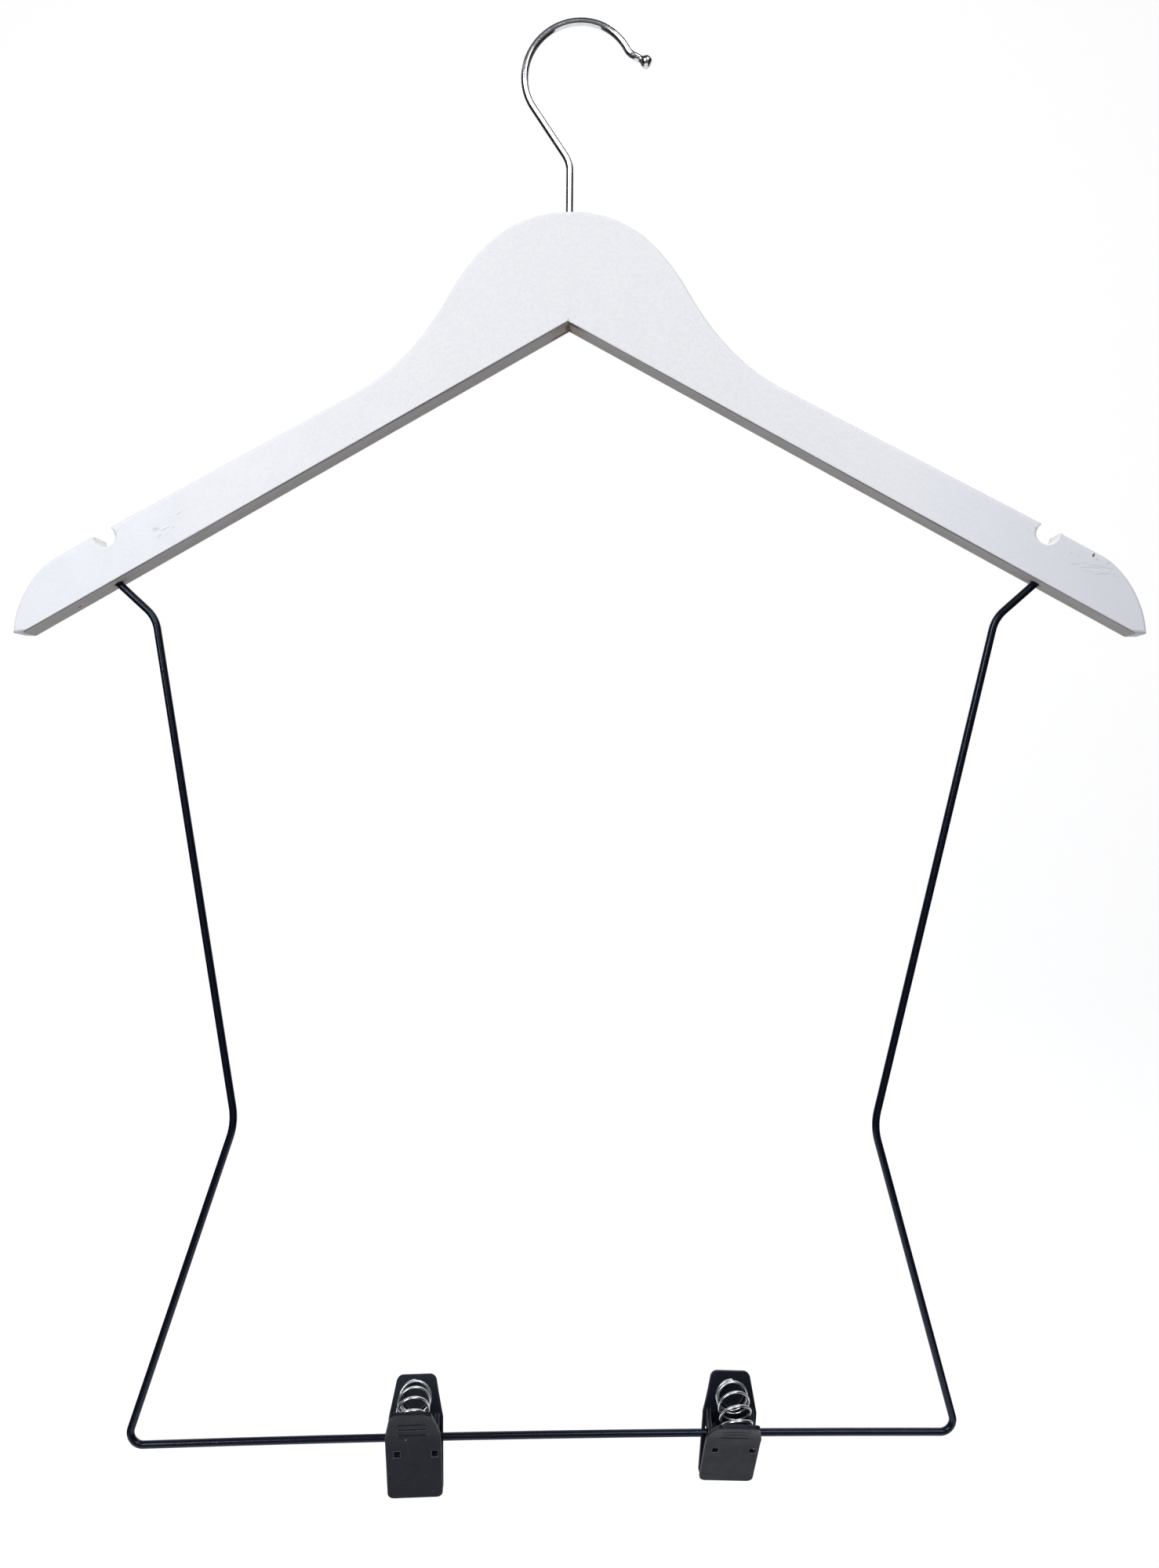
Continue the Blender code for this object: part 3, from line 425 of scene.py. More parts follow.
def notch_wall(tree, away, up):
    """Where the strap notch is cut, from its middle outwards."""
    down = Vector((-sin(UPPER_SLOPE), -cos(UPPER_SLOPE))) * NOTCH_SINK
    x, z = NOTCH_PLACE + down.x, APEX_HEIGHT - NOTCH_PLACE * tan(UNDER_SLOPE) + ARM_DEPTH + down.y
    x, z = less(tree, away, x), less(tree, up, z)
    square = plus(tree, times(tree, x, x), times(tree, z, z))
    outer, inner = (NOTCH_RADIUS + over for over in NOTCH_RIM)
    return remap(tree, maths(tree, "SQRT", square), outer, inner)


def joined(tree, masks):
    total = masks[0]
    for mask in masks[1:]:
        total = larger(tree, total, mask)
    return total


# Marks: place across and up, length, width, rise to the right in degrees, and raggedness
# Lifted marks are raised paint, painted lighter as a highlight; scratches beside them are partly
# painted shadow
LEFT_MARKS = {
    "chips": [(-185.0, -202.8, 1.3, 0.45, 45, 0.5)],
    "scratches": [
        (-163.9, -200.8, 4.4, 0.45, 28, 0.4), (-168.0, -201.1, 2.6, 1.3, 10, 1.1),
        (-166.5, -203.9, 2.0, 0.45, 38, 0.5),
        (-160.8, -200.4, 1.8, 0.3, 20, 0.5), (-158.5, -194.7, 2.4, 0.45, 31, 0.5),
        (-163.2, -203.2, 1.6, 0.25, 30, 0.8),
    ],
    "lifted_highlight": [(-164.2, -200.2, 4.8, 0.75, 28, 0.3), (-158.8, -194.3, 2.4, 0.5, 31, 0.4)],
}
RIGHT_MARKS = {
    "chips": [(199.4, -212.4, 1.7, 1.0, 55, 0.5), (-3.3, -119.3, 1.2, 0.2, 90, 0.4)],
    "scratches": [
        (198.9, -217.3, 9.5, 0.35, -3, 0.7), (204.5, -217.4, 5.6, 0.3, -14, 0.6),
        (202.6, -219.6, 6.8, 0.3, 2, 0.7),
        (192.6, -215.8, 3.6, 0.25, 5, 0.6), (200.1, -216.4, 5.0, 0.25, -6, 0.8),
        (200.6, -214.0, 1.0, 0.5, 0, 0.4),
        (205.1, -215.4, 1.5, 1.1, 30, 0.9), (196.0, -215.6, 0.9, 0.5, 0, 0.5),
        (195.5, -217.8, 0.7, 0.4, 0, 0.5),
        (196.7, -218.5, 0.9, 0.5, 10, 0.5), (198.7, -218.8, 1.0, 0.4, -10, 0.5),
        (206.9, -219.8, 0.9, 0.45, -30, 0.5),
        (208.4, -220.6, 1.1, 0.45, -30, 0.5), (191.0, -211.6, 1.3, 0.35, 15, 0.6),
        (194.0, -212.6, 0.9, 0.3, -60, 0.6),
        (174.7, -202.6, 1.1, 0.5, 35, 0.9), (171.2, -204.6, 0.6, 0.4, 0, 0.6),
    ],
    "lifted_highlight": [
        (199.4, -212.4, 2.5, 1.7, 55, 0.5), (198.7, -217.8, 8.0, 0.3, -3, 0.8),
        (204.3, -217.9, 4.5, 0.3, -14, 0.8),
    ],
}
UNDER_DOT = (-202.0, 0.75, -231.0)  # a knot under the left arm, in millimetres

# Where the wood's finish changes. A pair goes from where a change begins to where it is full.
# SHADED_TIP: where a tip's painted shade begins and is full
SHADED_TIP, COOLER_ARM = (130 * MM, 215 * MM), (60 * MM, 200 * MM)  # from the seam
NOTCH_RIM = 0.6 * MM, 0.2 * MM  # over the notch's radius
UNDER_EDGE, UNDER_WANDER = (0.32 * MM, 0.18 * MM), 0.3 * MM  # over the underside's plane
UNDER_DEPTH = -4.6 * MM, 5.5 * MM  # darker towards the back
EDGE_HEIGHT, EDGE_DEPTH, EDGE_WANDER = (0.3 * MM, 0.2 * MM), (-5.1 * MM, -5.35 * MM), 0.15 * MM
TONGUE_EDGE = 0.05 * MM
JOINT_WEAR = 9 * MM, 2 * MM  # from the seam
LINE_WANDER, LINE_WIDTH = (-0.1 * MM, 0.25 * MM), (0.35 * MM, 0.1 * MM)  # beside the tongue
LINE_OFFSET, LINE_FADE = 0.1 * MM, 1.5 * MM
STAIN_WANDER, STAIN_REACH, STAIN_DEPTH = 1.2 * MM, (7 * MM, 3 * MM), (-3.0 * MM, -4.4 * MM)
SEAM_STAIN = 1.4 * MM, 0.7 * MM

# The wood's colours. Noise or grain mixes the two of a pair.
PAINT = (0.862, 0.867, 0.893, 1), (0.885, 0.888, 0.913, 1)
PAINT_STREAK, PAINT_MOTTLE = (0.83, 0.835, 0.87, 1), (0.785, 0.793, 0.835, 1)
PAINT_COOL = (0.855, 0.885, 0.95, 1), (0.82, 0.845, 0.905, 1)
# the tip's grey is painted shade, the notch's pale colour is painted light
PAINT_TIP_SHADE, NOTCH_PAINTED_LIGHT = (0.64, 0.65, 0.71, 1), (0.96, 0.965, 0.955, 1)
PAINT_LIFTED_HIGHLIGHT, PAINT_SCRATCH_AND_SHADE = (0.98, 0.98, 0.985, 1), (0.5, 0.51, 0.56, 1)
CHIP_BROWN, EDGE_GREY = (0.1, 0.06, 0.045, 1), (0.06, 0.055, 0.05, 1)
# the underside's grey-brown is partly painted shade
UNDERSIDE_SHADED = (0.47, 0.445, 0.43, 1), (0.6, 0.575, 0.56, 1)
UNDERSIDE_DARKER, PORE_BROWN = (0.4, 0.385, 0.375, 1), (0.24, 0.19, 0.16, 1)
WORN_BROWN, STAIN_BROWN = (0.36, 0.26, 0.18, 1), (0.045, 0.03, 0.018, 1)
KNOT_BROWN = (0.05, 0.025, 0.02, 1)


def painted_front(tree, grain, away, up, spots, greyed):
    """Sprayed white, a little mottled; painted light in the notch, painted shade at a greyed tip.
    """
    mottle, broad = noise(tree, here(tree), 1100.0, 3, 0.7), noise(tree, here(tree), 22.0)
    colour = mix(tree, broad, *PAINT)
    streaked = remap(tree, grain["Streaks"], 0.35, 0.75, 0.0, 0.35)
    colour = mix(tree, streaked, colour, PAINT_STREAK)
    colour = mix(tree, remap(tree, mottle, 0.4, 0.66, 0.0, 0.7), colour, PAINT_MOTTLE)
    cool = mix(tree, mottle, *PAINT_COOL)
    colour = mix(tree, remap(tree, away, *COOLER_ARM, 0.0, 0.75), colour, cool)
    # painted shade: the tip greyed where less light falls on it
    tip_shade = remap(tree, away, *SHADED_TIP, 0.0, greyed)
    colour = mix(tree, tip_shade, colour, PAINT_TIP_SHADE)
    # painted light: the notch's walls paler than their shading gives
    colour = mix(tree, notch_wall(tree, away, up), colour, NOTCH_PAINTED_LIGHT)
    # painted highlight on the raised paint
    colour = mix(tree, spots["lifted_highlight"], colour, PAINT_LIFTED_HIGHLIGHT)
    # scratch marks, some of them painted shadow beside the raised paint
    colour = mix(tree, times(tree, spots["scratches"], 0.35), colour, PAINT_SCRATCH_AND_SHADE)
    return mix(tree, times(tree, spots["chips"], 0.92), colour, CHIP_BROWN)


def shaded_underside(tree, grain, side, away, deep):
    """Grey-brown underneath, partly painted shade over thin paint, worn at the joint with its
    tongue.
    """
    colour = mix(tree, grain["Streaks"], *UNDERSIDE_SHADED)
    darker = remap(tree, deep, *UNDER_DEPTH, 0.0, 0.35)
    colour = mix(tree, darker, colour, UNDERSIDE_DARKER)
    colour = mix(tree, times(tree, grain["Pores"], 0.35), colour, PORE_BROWN)
    rough = noise(tree, here(tree), 900.0, 4, 0.65)
    worn = times(tree, remap(tree, away, *JOINT_WEAR), remap(tree, rough, 0.3, 0.6, 0.35, 1.0))
    colour = mix(tree, times(tree, worn, 0.75), colour, WORN_BROWN)
    if side < 0:
        across = maths(tree, "ABSOLUTE", deep)
        wide = remap(tree, rough, *USUAL, *LINE_WANDER)
        near = maths(tree, "ABSOLUTE", less(tree, across, TONGUE_HALF + LINE_OFFSET))
        line = remap(tree, less(tree, near, wide), *LINE_WIDTH)
        stain = times(tree, line, remap(tree, away, TONGUE_REACH, TONGUE_REACH - LINE_FADE))
    else:
        ragged = plus(tree, away, remap(tree, rough, *USUAL, -STAIN_WANDER, STAIN_WANDER))
        front = times(tree, remap(tree, ragged, *STAIN_REACH), remap(tree, deep, *STAIN_DEPTH))
        stain = larger(tree, front, remap(tree, ragged, *SEAM_STAIN))
    return mix(tree, times(tree, stain, 0.85), colour, STAIN_BROWN)


def white_paint(name, side, marks, greyed):
    """White paint over pale wood, thin and brown underneath with painted shade, with its own
    marks.
    """
    made, tree, sockets = finish(name)
    spots = {}
    for kind, places in marks.items():
        spots[kind] = joined(tree, [spot(tree, *place) for place in places])
    parts = put(tree, "SeparateXYZ", {0: here(tree)}).outputs
    left_of = less(tree, SEAM_X, parts["X"])
    grain = use(tree, GRAIN, {"Slope": times(tree, maths(tree, "SIGN", left_of), GRAIN_SLOPE)})
    away = maths(tree, "ABSOLUTE", left_of)
    height = less(tree, parts["Z"], APEX_HEIGHT)
    height = plus(tree, height, times(tree, away, tan(UNDER_SLOPE)))
    wobble = times(tree, less(tree, grain["Streaks"], 0.5), UNDER_WANDER)
    height = plus(tree, height, wobble)
    under = remap(tree, height, *UNDER_EDGE)
    if side > 0:
        under = larger(tree, under, remap(tree, left_of, 0.0, TONGUE_EDGE))
    front = painted_front(tree, grain, away, parts["Z"], spots, greyed)
    below = shaded_underside(tree, grain, side, away, parts["Y"])
    if side < 0:
        size = {"Length": 1.6 * MM, "Width": 1.6 * MM, "Depth": 1.1 * MM, "Raggedness": 0.4}
        place = {"Middle": Vector(UNDER_DOT) * MM, "Turn": UNDER_SLOPE}
        knot = use(tree, MARK, place | size)["Mask"]
        below = mix(tree, knot, below, KNOT_BROWN)
    colour = mix(tree, under, front, below)
    wobble = remap(tree, grain["Streaks"], *USUAL, -EDGE_WANDER, EDGE_WANDER)
    ragged = plus(tree, parts["Y"], wobble)
    line = times(tree, remap(tree, height, *EDGE_HEIGHT), remap(tree, ragged, *EDGE_DEPTH))
    colour = mix(tree, times(tree, line, 0.85), colour, EDGE_GREY)
    tree.links.new(colour, sockets["Base Color"])
    rough = remap(tree, noise(tree, here(tree), 60.0), *USUAL, 0.42, 0.52)
    tree.links.new(plus(tree, rough, times(tree, under, 0.25)), sockets["Roughness"])
    peel = times(tree, noise(tree, here(tree), 800.0, 3, 0.6), 1.6)
    rise = plus(tree, peel, times(tree, grain["Streaks"], 0.5))
    rise = plus(tree, rise, times(tree, spots["lifted_highlight"], 1.2))
    rise = less(tree, rise, times(tree, spots["scratches"], 1.0))
    rise = less(tree, rise, times(tree, spots["chips"], 2.5))
    bump(tree, sockets, rise, 0.06 * MM)
    return made


def bright_metal(name, colour, dull, line_turn):
    """Plated wire: bright, a little smudged, with fine drawing lines."""
    made, tree, sockets = finish(name, metallic=1.0)
    smudge = noise(tree, here(tree), 120.0, 4, 0.6)
    lines = use(tree, SCRATCHES, {"Turn": line_turn, "Fineness": 2.0, "Cover": 0.5})["Mask"]
    dark = tuple(c * 0.82 for c in colour)
    shade = mix(tree, remap(tree, smudge, 0.35, 0.7), (*colour, 1), (*dark, 1))
    tree.links.new(shade, sockets["Base Color"])
    rough = remap(tree, smudge, *USUAL, dull, dull * 2.0)
    tree.links.new(plus(tree, rough, times(tree, lines, 0.12)), sockets["Roughness"])
    bump(tree, sockets, less(tree, smudge, times(tree, lines, 0.4)), 0.01 * MM)
    return made


def black_coating():
    """Dipped black coating with a soft shine, slightly dusty."""
    made, tree, sockets = finish("black_coating", shine=0.36)
    sockets["Specular Tint"].default_value = (0.6, 0.75, 1.0, 1)
    dips = noise(tree, here(tree), 260.0, 3, 0.55)
    dust = use(tree, SPECKS, {"Spacing": 1.6 * MM, "Size": 0.09, "Share": 0.12})["Mask"]
    colour = mix(tree, dips, (0.002, 0.0025, 0.006, 1), (0.0045, 0.005, 0.01, 1))
    colour = mix(tree, times(tree, dust, 0.3), colour, (0.14, 0.14, 0.15, 1))
    tree.links.new(colour, sockets["Base Color"])
    rough = remap(tree, dips, *USUAL, 0.14, 0.22)
    tree.links.new(plus(tree, rough, times(tree, dust, 0.3)), sockets["Roughness"])
    rise = plus(tree, dips, noise(tree, here(tree), 1500.0, 2, 0.5))
    bump(tree, sockets, rise, 0.05 * MM)
    return made


def charcoal_plastic(name, tint):
    """Moulded charcoal plastic with a fine grain, rubbed edges with painted highlights, dust and
    light scratches.
    """
    made, tree, sockets = finish(name, shine=0.22)
    sockets["Specular Tint"].default_value = (0.8, 0.88, 1.0, 1)
    spark = noise(tree, here(tree), 1500.0, 4, 0.65)
    cloud = noise(tree, here(tree), 130.0, 3, 0.5)
    worn = use(tree, EDGE_WEAR_AND_HIGHLIGHT, {"Reach": 0.5 * MM, "Patchiness": 0.9})["Mask"]
    dust = use(tree, SPECKS, {"Spacing": 1.3 * MM, "Size": 0.13, "Share": 0.35})["Mask"]
    scratches = use(tree, SCRATCHES, {"Turn": 0.9, "Fineness": 1.4, "Cover": 0.46})["Mask"]
    light = tuple(c * 1.9 for c in tint)
    colour = mix(tree, remap(tree, spark, 0.35, 0.7), (*tint, 1), (*light, 1))
    colour = mix(tree, remap(tree, cloud, 0.4, 0.75, 0.0, 0.35), colour, (*light, 1))
    # painted highlight: edges and grip lines lighter where they catch the light, partly rubbing
    colour = mix(tree, times(tree, worn, 0.85), colour, (0.3, 0.32, 0.36, 1))
    colour = mix(tree, times(tree, dust, 0.35), colour, (0.2, 0.2, 0.2, 1))
    colour = mix(tree, times(tree, scratches, 0.15), colour, (0.12, 0.12, 0.13, 1))
    size = {"Length": 0.8 * MM, "Width": 0.7 * MM, "Depth": 8.0 * MM, "Raggedness": 0.3}
    fleck = use(tree, MARK, {"Middle": Vector(FRONT_FLECK) * MM} | size)["Mask"]
    colour = mix(tree, times(tree, fleck, 0.8), colour, (0.2, 0.2, 0.21, 1))
    tree.links.new(colour, sockets["Base Color"])
    rough = remap(tree, cloud, *USUAL, 0.46, 0.58)
    tree.links.new(less(tree, rough, times(tree, worn, 0.12)), sockets["Roughness"])
    bump(tree, sockets, plus(tree, spark, times(tree, scratches, -1.0)), 0.03 * MM)
    return made


def zinc_plate():
    """Dull zinc with fine turning lines."""
    made, tree, sockets = finish("zinc_plate", metallic=1.0)
    bloom = noise(tree, here(tree), 400.0, 4, 0.6)
    colour = mix(tree, bloom, (0.5, 0.51, 0.53, 1), (0.7, 0.7, 0.69, 1))
    tree.links.new(colour, sockets["Base Color"])
    tree.links.new(remap(tree, bloom, *USUAL, 0.28, 0.45), sockets["Roughness"])
    rings = noise(tree, scaled(tree, here(tree), (200, 200, 4000)), 1.0, 2, 0.5)
    bump(tree, sockets, rings, 0.02 * MM)
    return made


# Pieces


def as_object(bm, name, made, sharp_angle=SHARP_ANGLE):
    """One object, smooth but for the edges that turn by more than the sharp angle."""
    bm.normal_update()
    for face in bm.faces:
        face.smooth = True
    for edge in bm.edges:
        edge.smooth = not edge.is_manifold or edge.calc_face_angle() < sharp_angle
    mesh = bpy.data.meshes.new(name)
    bm.to_mesh(mesh)
    bm.free()
    mesh.materials.append(made)
    return link(name, mesh)


def fit(obj, body, slot, *nodes):
    """The piece rides on its body and stands for its CAD nodes."""
    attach(obj, body)
    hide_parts(*nodes)
    return obj


def even_shading(obj):
    """Flat faces keep their own normal, so that rims alone carry the rounding."""
    step = obj.modifiers.new("even_shading", "WEIGHTED_NORMAL")
    step.keep_sharp = True
    return obj


def merged_copy(node):
    """The CAD solid as one welded mesh with its flat faces whole."""
    bm = bmesh.new()
    bm.from_mesh(frame["nodes"][node].data)
    bmesh.ops.remove_doubles(bm, verts=bm.verts, dist=WELD)
    bmesh.ops.dissolve_limit(bm, angle_limit=FLAT_ANGLE, verts=bm.verts, edges=bm.edges)
    return bm


def shift(bm, vertices, vector):
    bmesh.ops.translate(bm, verts=vertices, vec=vector)


def draw_straight(bm, ends, step):
    """Draws an edge or a ring out by this step. Its new end is given back."""
    size = {"axis": UP, "angle": 0, "steps": 1, "dvec": step}
    return bmesh.ops.spin(bm, geom=ends, cent=(0, 0, 0), **size)["geom_last"]


def close_joint(bm, side):
    """Both halves meet at a hairline and the slot closes round the tongue, faces kept flat."""

    def draw(vertices, distance):
        low = [v for v in vertices if v.co.z < APEX_HEIGHT + JOINT_EDGE]
        shift(bm, vertices, ACROSS * distance)
        shift(bm, low, UP * abs(distance) * tan(UNDER_SLOPE))

    close = SLOT_PLAY - HAIRLINE
    if side < 0:
        for sign in (-1, 1):
            wall = sign * (TONGUE_HALF + SLOT_PLAY)
            near = [v for v in bm.verts if abs(v.co.y - wall) < SEAM_REACH / 2]
            shift(bm, near, BACK * -sign * close)
        end = SEAM_X - TONGUE_REACH - SLOT_PLAY
        draw([v for v in bm.verts if abs(v.co.x - end) < SEAM_REACH / 2], close)
    for v in [v for v in bm.verts if abs(v.co.x - SEAM_X) < SEAM_REACH]:
        draw([v], SEAM_X + side * HAIRLINE / 2 - v.co.x)


def make_shoulder(node, side, paint):
    bm = merged_copy(node)
    close_joint(bm, side)
    obj = as_object(bm, "wood_" + node.split("_")[0], paint)
    return fit(even_shading(obj), "hanger", "painted_wood", node)


class Wire:
    """A round wire drawn ring by ring, with straight runs and bends."""

    def __init__(self, start, heading, thickness, sides=24):
        self.bm, self.at, self.heading = bmesh.new(), Vector(start), Vector(heading).normalized()
        turn = self.heading.to_track_quat("Z", "Y").to_matrix().to_4x4()
        place = Matrix.Translation(self.at) @ turn
        size = {"segments": sides, "radius": thickness / 2}
        bmesh.ops.create_circle(self.bm, cap_ends=True, matrix=place, **size)
        self.ring = [*self.bm.verts, *self.bm.edges]

    def run(self, length):
        step = self.heading * length
        self.ring = draw_straight(self.bm, self.ring, step)
        self.at += step

    def bend(self, axis, radius, angle, per_step=radians(4.0)):
        centre = self.at + axis.cross(self.heading) * radius
        steps = max(3, round(angle / per_step), round(angle * radius / LONGEST_STEP))
        size = {"cent": centre, "axis": axis, "angle": angle, "steps": steps}
        self.ring = bmesh.ops.spin(self.bm, geom=self.ring, **size)["geom_last"]
        turn = Matrix.Rotation(angle, 3, axis)
        self.at, self.heading = centre + turn @ (self.at - centre), turn @ self.heading

    def swell(self, length, share):
        """A short run whose end is this share of the last ring's size."""
        self.run(length)
        corners = [v for v in self.ring if isinstance(v, bmesh.types.BMVert)]
        space = Matrix.Translation(-self.at)
        bmesh.ops.scale(self.bm, vec=(share,) * 3, verts=corners, space=space)

    def close(self):
        edges = [e for e in self.ring if isinstance(e, bmesh.types.BMEdge)]
        bmesh.ops.contextual_create(self.bm, geom=edges)
        bmesh.ops.recalc_face_normals(self.bm, faces=self.bm.faces)
        return self.bm


def wire_through(corners, radii, thickness):
    """A wire from the first corner to the last, bent at each corner between them."""
    wire = Wire(corners[0], corners[1] - corners[0], thickness)
    for corner, after, radius in zip(corners[1:], corners[2:], radii):
        ahead = (after - corner).normalized()
        turn = wire.heading.angle(ahead)
        wire.run((corner - wire.at).length - radius * tan(turn / 2))
        wire.bend(wire.heading.cross(ahead).normalized(), radius, turn)
    wire.run((corners[-1] - wire.at).length)
    return wire.close()


def make_hook(chrome):
    """Shank, leg, crown, flare and a rounded bulb at the tip."""
    leg_x = -CROWN_RADIUS * cos(LEG_LEAN)
    leg_z = -CROWN_RADIUS + HOOK_WIRE / 2 - CROWN_RADIUS * sin(LEG_LEAN)
    leg = (SEAM_X - leg_x) / sin(LEG_LEAN)
    lead = LEG_BEND * tan(LEG_LEAN / 2)
    wire = Wire((SEAM_X, 0, SHANK_END), UP, HOOK_WIRE, sides=32)
    wire.run(leg_z - leg * cos(LEG_LEAN) - lead - SHANK_END)
    wire.bend(-BACK, LEG_BEND, LEG_LEAN)
    wire.run(leg - lead)
    wire.bend(BACK, CROWN_RADIUS, pi + LEG_LEAN - MOUTH_ANGLE)
    wire.bend(-BACK, FLARE_RADIUS, FLARE_SWEEP)
    wire.run(TIP_RUN)
    width = 1.0
    for step, share in BULB:
        wire.swell(step * MM * BULB_STRETCH, share / width)
        width = share
    obj = as_object(wire.close(), "hook_wire", chrome)
    return fit(obj, "hook", "hook_chrome", "hook")


def hole_mouth(side):
    """Where the frame enters the wood, and its direction inwards."""
    across = FRAME_SHIFT + side * HOLE_PLACE
    into = Vector((side * cos(ENTRY_SLOPE), 0, sin(ENTRY_SLOPE)))
    return Vector((SEAM_X + across, 0, APEX_HEIGHT - abs(across) * tan(UNDER_SLOPE))), into


def racked(x, z, top):
    """A point of the flat frame, swayed to the left and twisted towards the bar."""
    share = (top - z) / (top - APEX_HEIGHT + BAR_DROP)
    turned = Matrix.Rotation(FRAME_TWIST * share, 3, "Z") @ Vector((x, 0, 0))
    return turned + Vector((SEAM_X + FRAME_SHIFT - FRAME_SWAY * share, 0, z))


def make_frame(black):
    """Each half runs from the hole down to the bar, the right one's corners in reverse."""
    bends, corners, radii = [SHOULDER_BEND, WAIST_BEND, FOOT_BEND], [], []
    for side in (-1, 1):
        mouth, into = hole_mouth(side)
        shoulder = mouth - into * ((HOLE_PLACE - SHOULDER_HALF) / cos(ENTRY_SLOPE))
        waist = racked(side * WAIST_HALF, APEX_HEIGHT - WAIST_DROP, shoulder.z)
        foot = racked(side * FOOT_HALF, APEX_HEIGHT - BAR_DROP - BAR_BOW * BOW_UNDER, shoulder.z)
        half = [mouth + into * HOLE_DEPTH, shoulder, waist, foot]
        if side > 0:
            # The bow's ends aim at twice its height
            corners.append((corners[-1] + foot) / 2 + UP * BAR_BOW * 2)
            radii.append(BAR_BEND)
        corners += half if side < 0 else half[::-1]
        radii += bends if side < 0 else bends[::-1]
    obj = as_object(wire_through(corners, radii, FRAME_WIRE), "torso_wire", black)
    return fit(obj, "hanger", "black_coating", "wire_frame")


def clip_place(name):
    """The clip's own frame: the bar along X through the origin, the front plate at -Y."""
    joint = next(j for j in frame["record"]["behaviour"]["joints"] if j["name"] == name + "_open")
    turn, roll = CLIP_TURNS[name]
    place = Matrix.Translation(joint["pos_m"]) @ Matrix.Rotation(FRAME_TWIST, 4, "Z")
    return place @ Matrix.Rotation(roll, 4, "Y") @ Matrix.Rotation(turn, 4, "X")


def sharp_edges(bm, least=radians(60.0)):
    return [e for e in bm.edges if e.is_manifold and e.calc_face_angle() > least]


def soften(bm, width, segments=2):
    size = {"offset": width, "segments": segments, "profile": 0.5, "affect": "EDGES"}
    bmesh.ops.bevel(bm, geom=sharp_edges(bm), clamp_overlap=True, material=-1, **size)


def carve(obj, operation, bm):
    """Joins a shape to the piece or cuts it out, at once."""
    bmesh.ops.recalc_face_normals(bm, faces=bm.faces)
    mesh = bpy.data.meshes.new("tool")
    bm.to_mesh(mesh)
    bm.free()
    tool = link("tool", mesh)
    step = obj.modifiers.new("carve", "BOOLEAN")
    step.operation, step.solver, step.object = operation, "EXACT", tool
    bpy.context.view_layer.update()
    shown = obj.evaluated_get(bpy.context.evaluated_depsgraph_get())
    result = bpy.data.meshes.new_from_object(shown)
    obj.modifiers.clear()
    obj.data = result
    bpy.data.objects.remove(tool)


def plate_rows():
    """The outer face from the side, from the jaw's tip to the top of the handle."""
    lean, upper = (Vector((0, sin(a), cos(a))) for a in (JAW_LEAN, HANDLE_LEAN))
    flat = HANDLE_TOP - upper * HANDLE_FLAT
    leads = JAW_BEND + lean * BEND_LEADS[0], flat - upper * BEND_LEADS[1]
    bend = interpolate_bezier(JAW_BEND, *leads, flat, BEND_ROWS)
    return [JAW_TIP, *bend, HANDLE_TOP]


def on_plate(from_top):
    """Place, outward and upward directions on the outer face, this far down it from the top."""
    rows = plate_rows()[::-1]
    for above, below in zip(rows, rows[1:]):
        run = (above - below).length
        if from_top <= run or below is rows[-1]:
            up = (above - below).normalized()
            return above - up * from_top, Vector((0, up.z, -up.y)), up
        from_top -= run


def below_bend(drop):
    """The same, this far below the jaw's bend."""
    rows = plate_rows()[1:]
    return on_plate(sum((b - a).length for a, b in zip(rows, rows[1:])) + drop)


def plate_blank():
    """A sheet drawn row by row, narrower at the handle, with round corners, then thickened."""
    rows = plate_rows()
    bm = bmesh.new()
    first = [bm.verts.new(rows[0] + ACROSS * x) for x in (-JAW_WIDTH / 2, JAW_WIDTH / 2)]
    row = [*first, bm.edges.new(first)]
    for low, high in zip(rows, rows[1:]):
        row = draw_straight(bm, row, high - low)
    top = len(rows) - 1
    for i in range(TAPER_ROW + 1, top + 1):
        risen = (rows[i].z - rows[TAPER_ROW].z) / (rows[top].z - rows[TAPER_ROW].z)
        ends = [v for v in bm.verts if abs(v.co.z - rows[i].z) < WELD]
        width = JAW_WIDTH + (HANDLE_WIDTH - JAW_WIDTH) * risen
        bmesh.ops.scale(bm, vec=(width / JAW_WIDTH, 1, 1), verts=ends)
    for place, corner in ((rows[0], JAW_CORNER), (rows[-1], HANDLE_CORNER)):
        ends = [v for v in bm.verts if abs(v.co.z - place.z) < WELD]
        size = {"offset": corner, "segments": CORNER_STEPS, "profile": 0.5, "affect": "VERTICES"}
        bmesh.ops.bevel(bm, geom=ends, clamp_overlap=True, material=-1, **size)
    for face in bm.faces:
        face.normal_update()
        if face.normal.y < 0:
            face.normal_flip()
    bmesh.ops.solidify(bm, geom=bm.faces[:], thickness=PLATE_THICKNESS)
    bmesh.ops.recalc_face_normals(bm, faces=bm.faces)
    soften(bm, PLATE_EDGE, 3)
    return bm


def barrel(radius, start, end, sides=48):
    """A plain round tool from start to end."""
    start, end = Vector(start), Vector(end)
    axis = end - start
    turn = UP.rotation_difference(axis).to_matrix().to_4x4()
    place = Matrix.Translation((start + end) / 2) @ turn
    bm = bmesh.new()
    size = {"radius1": radius, "radius2": radius, "depth": axis.length, "segments": sides}
    bmesh.ops.create_cone(bm, cap_ends=True, matrix=place, **size)
    return bm


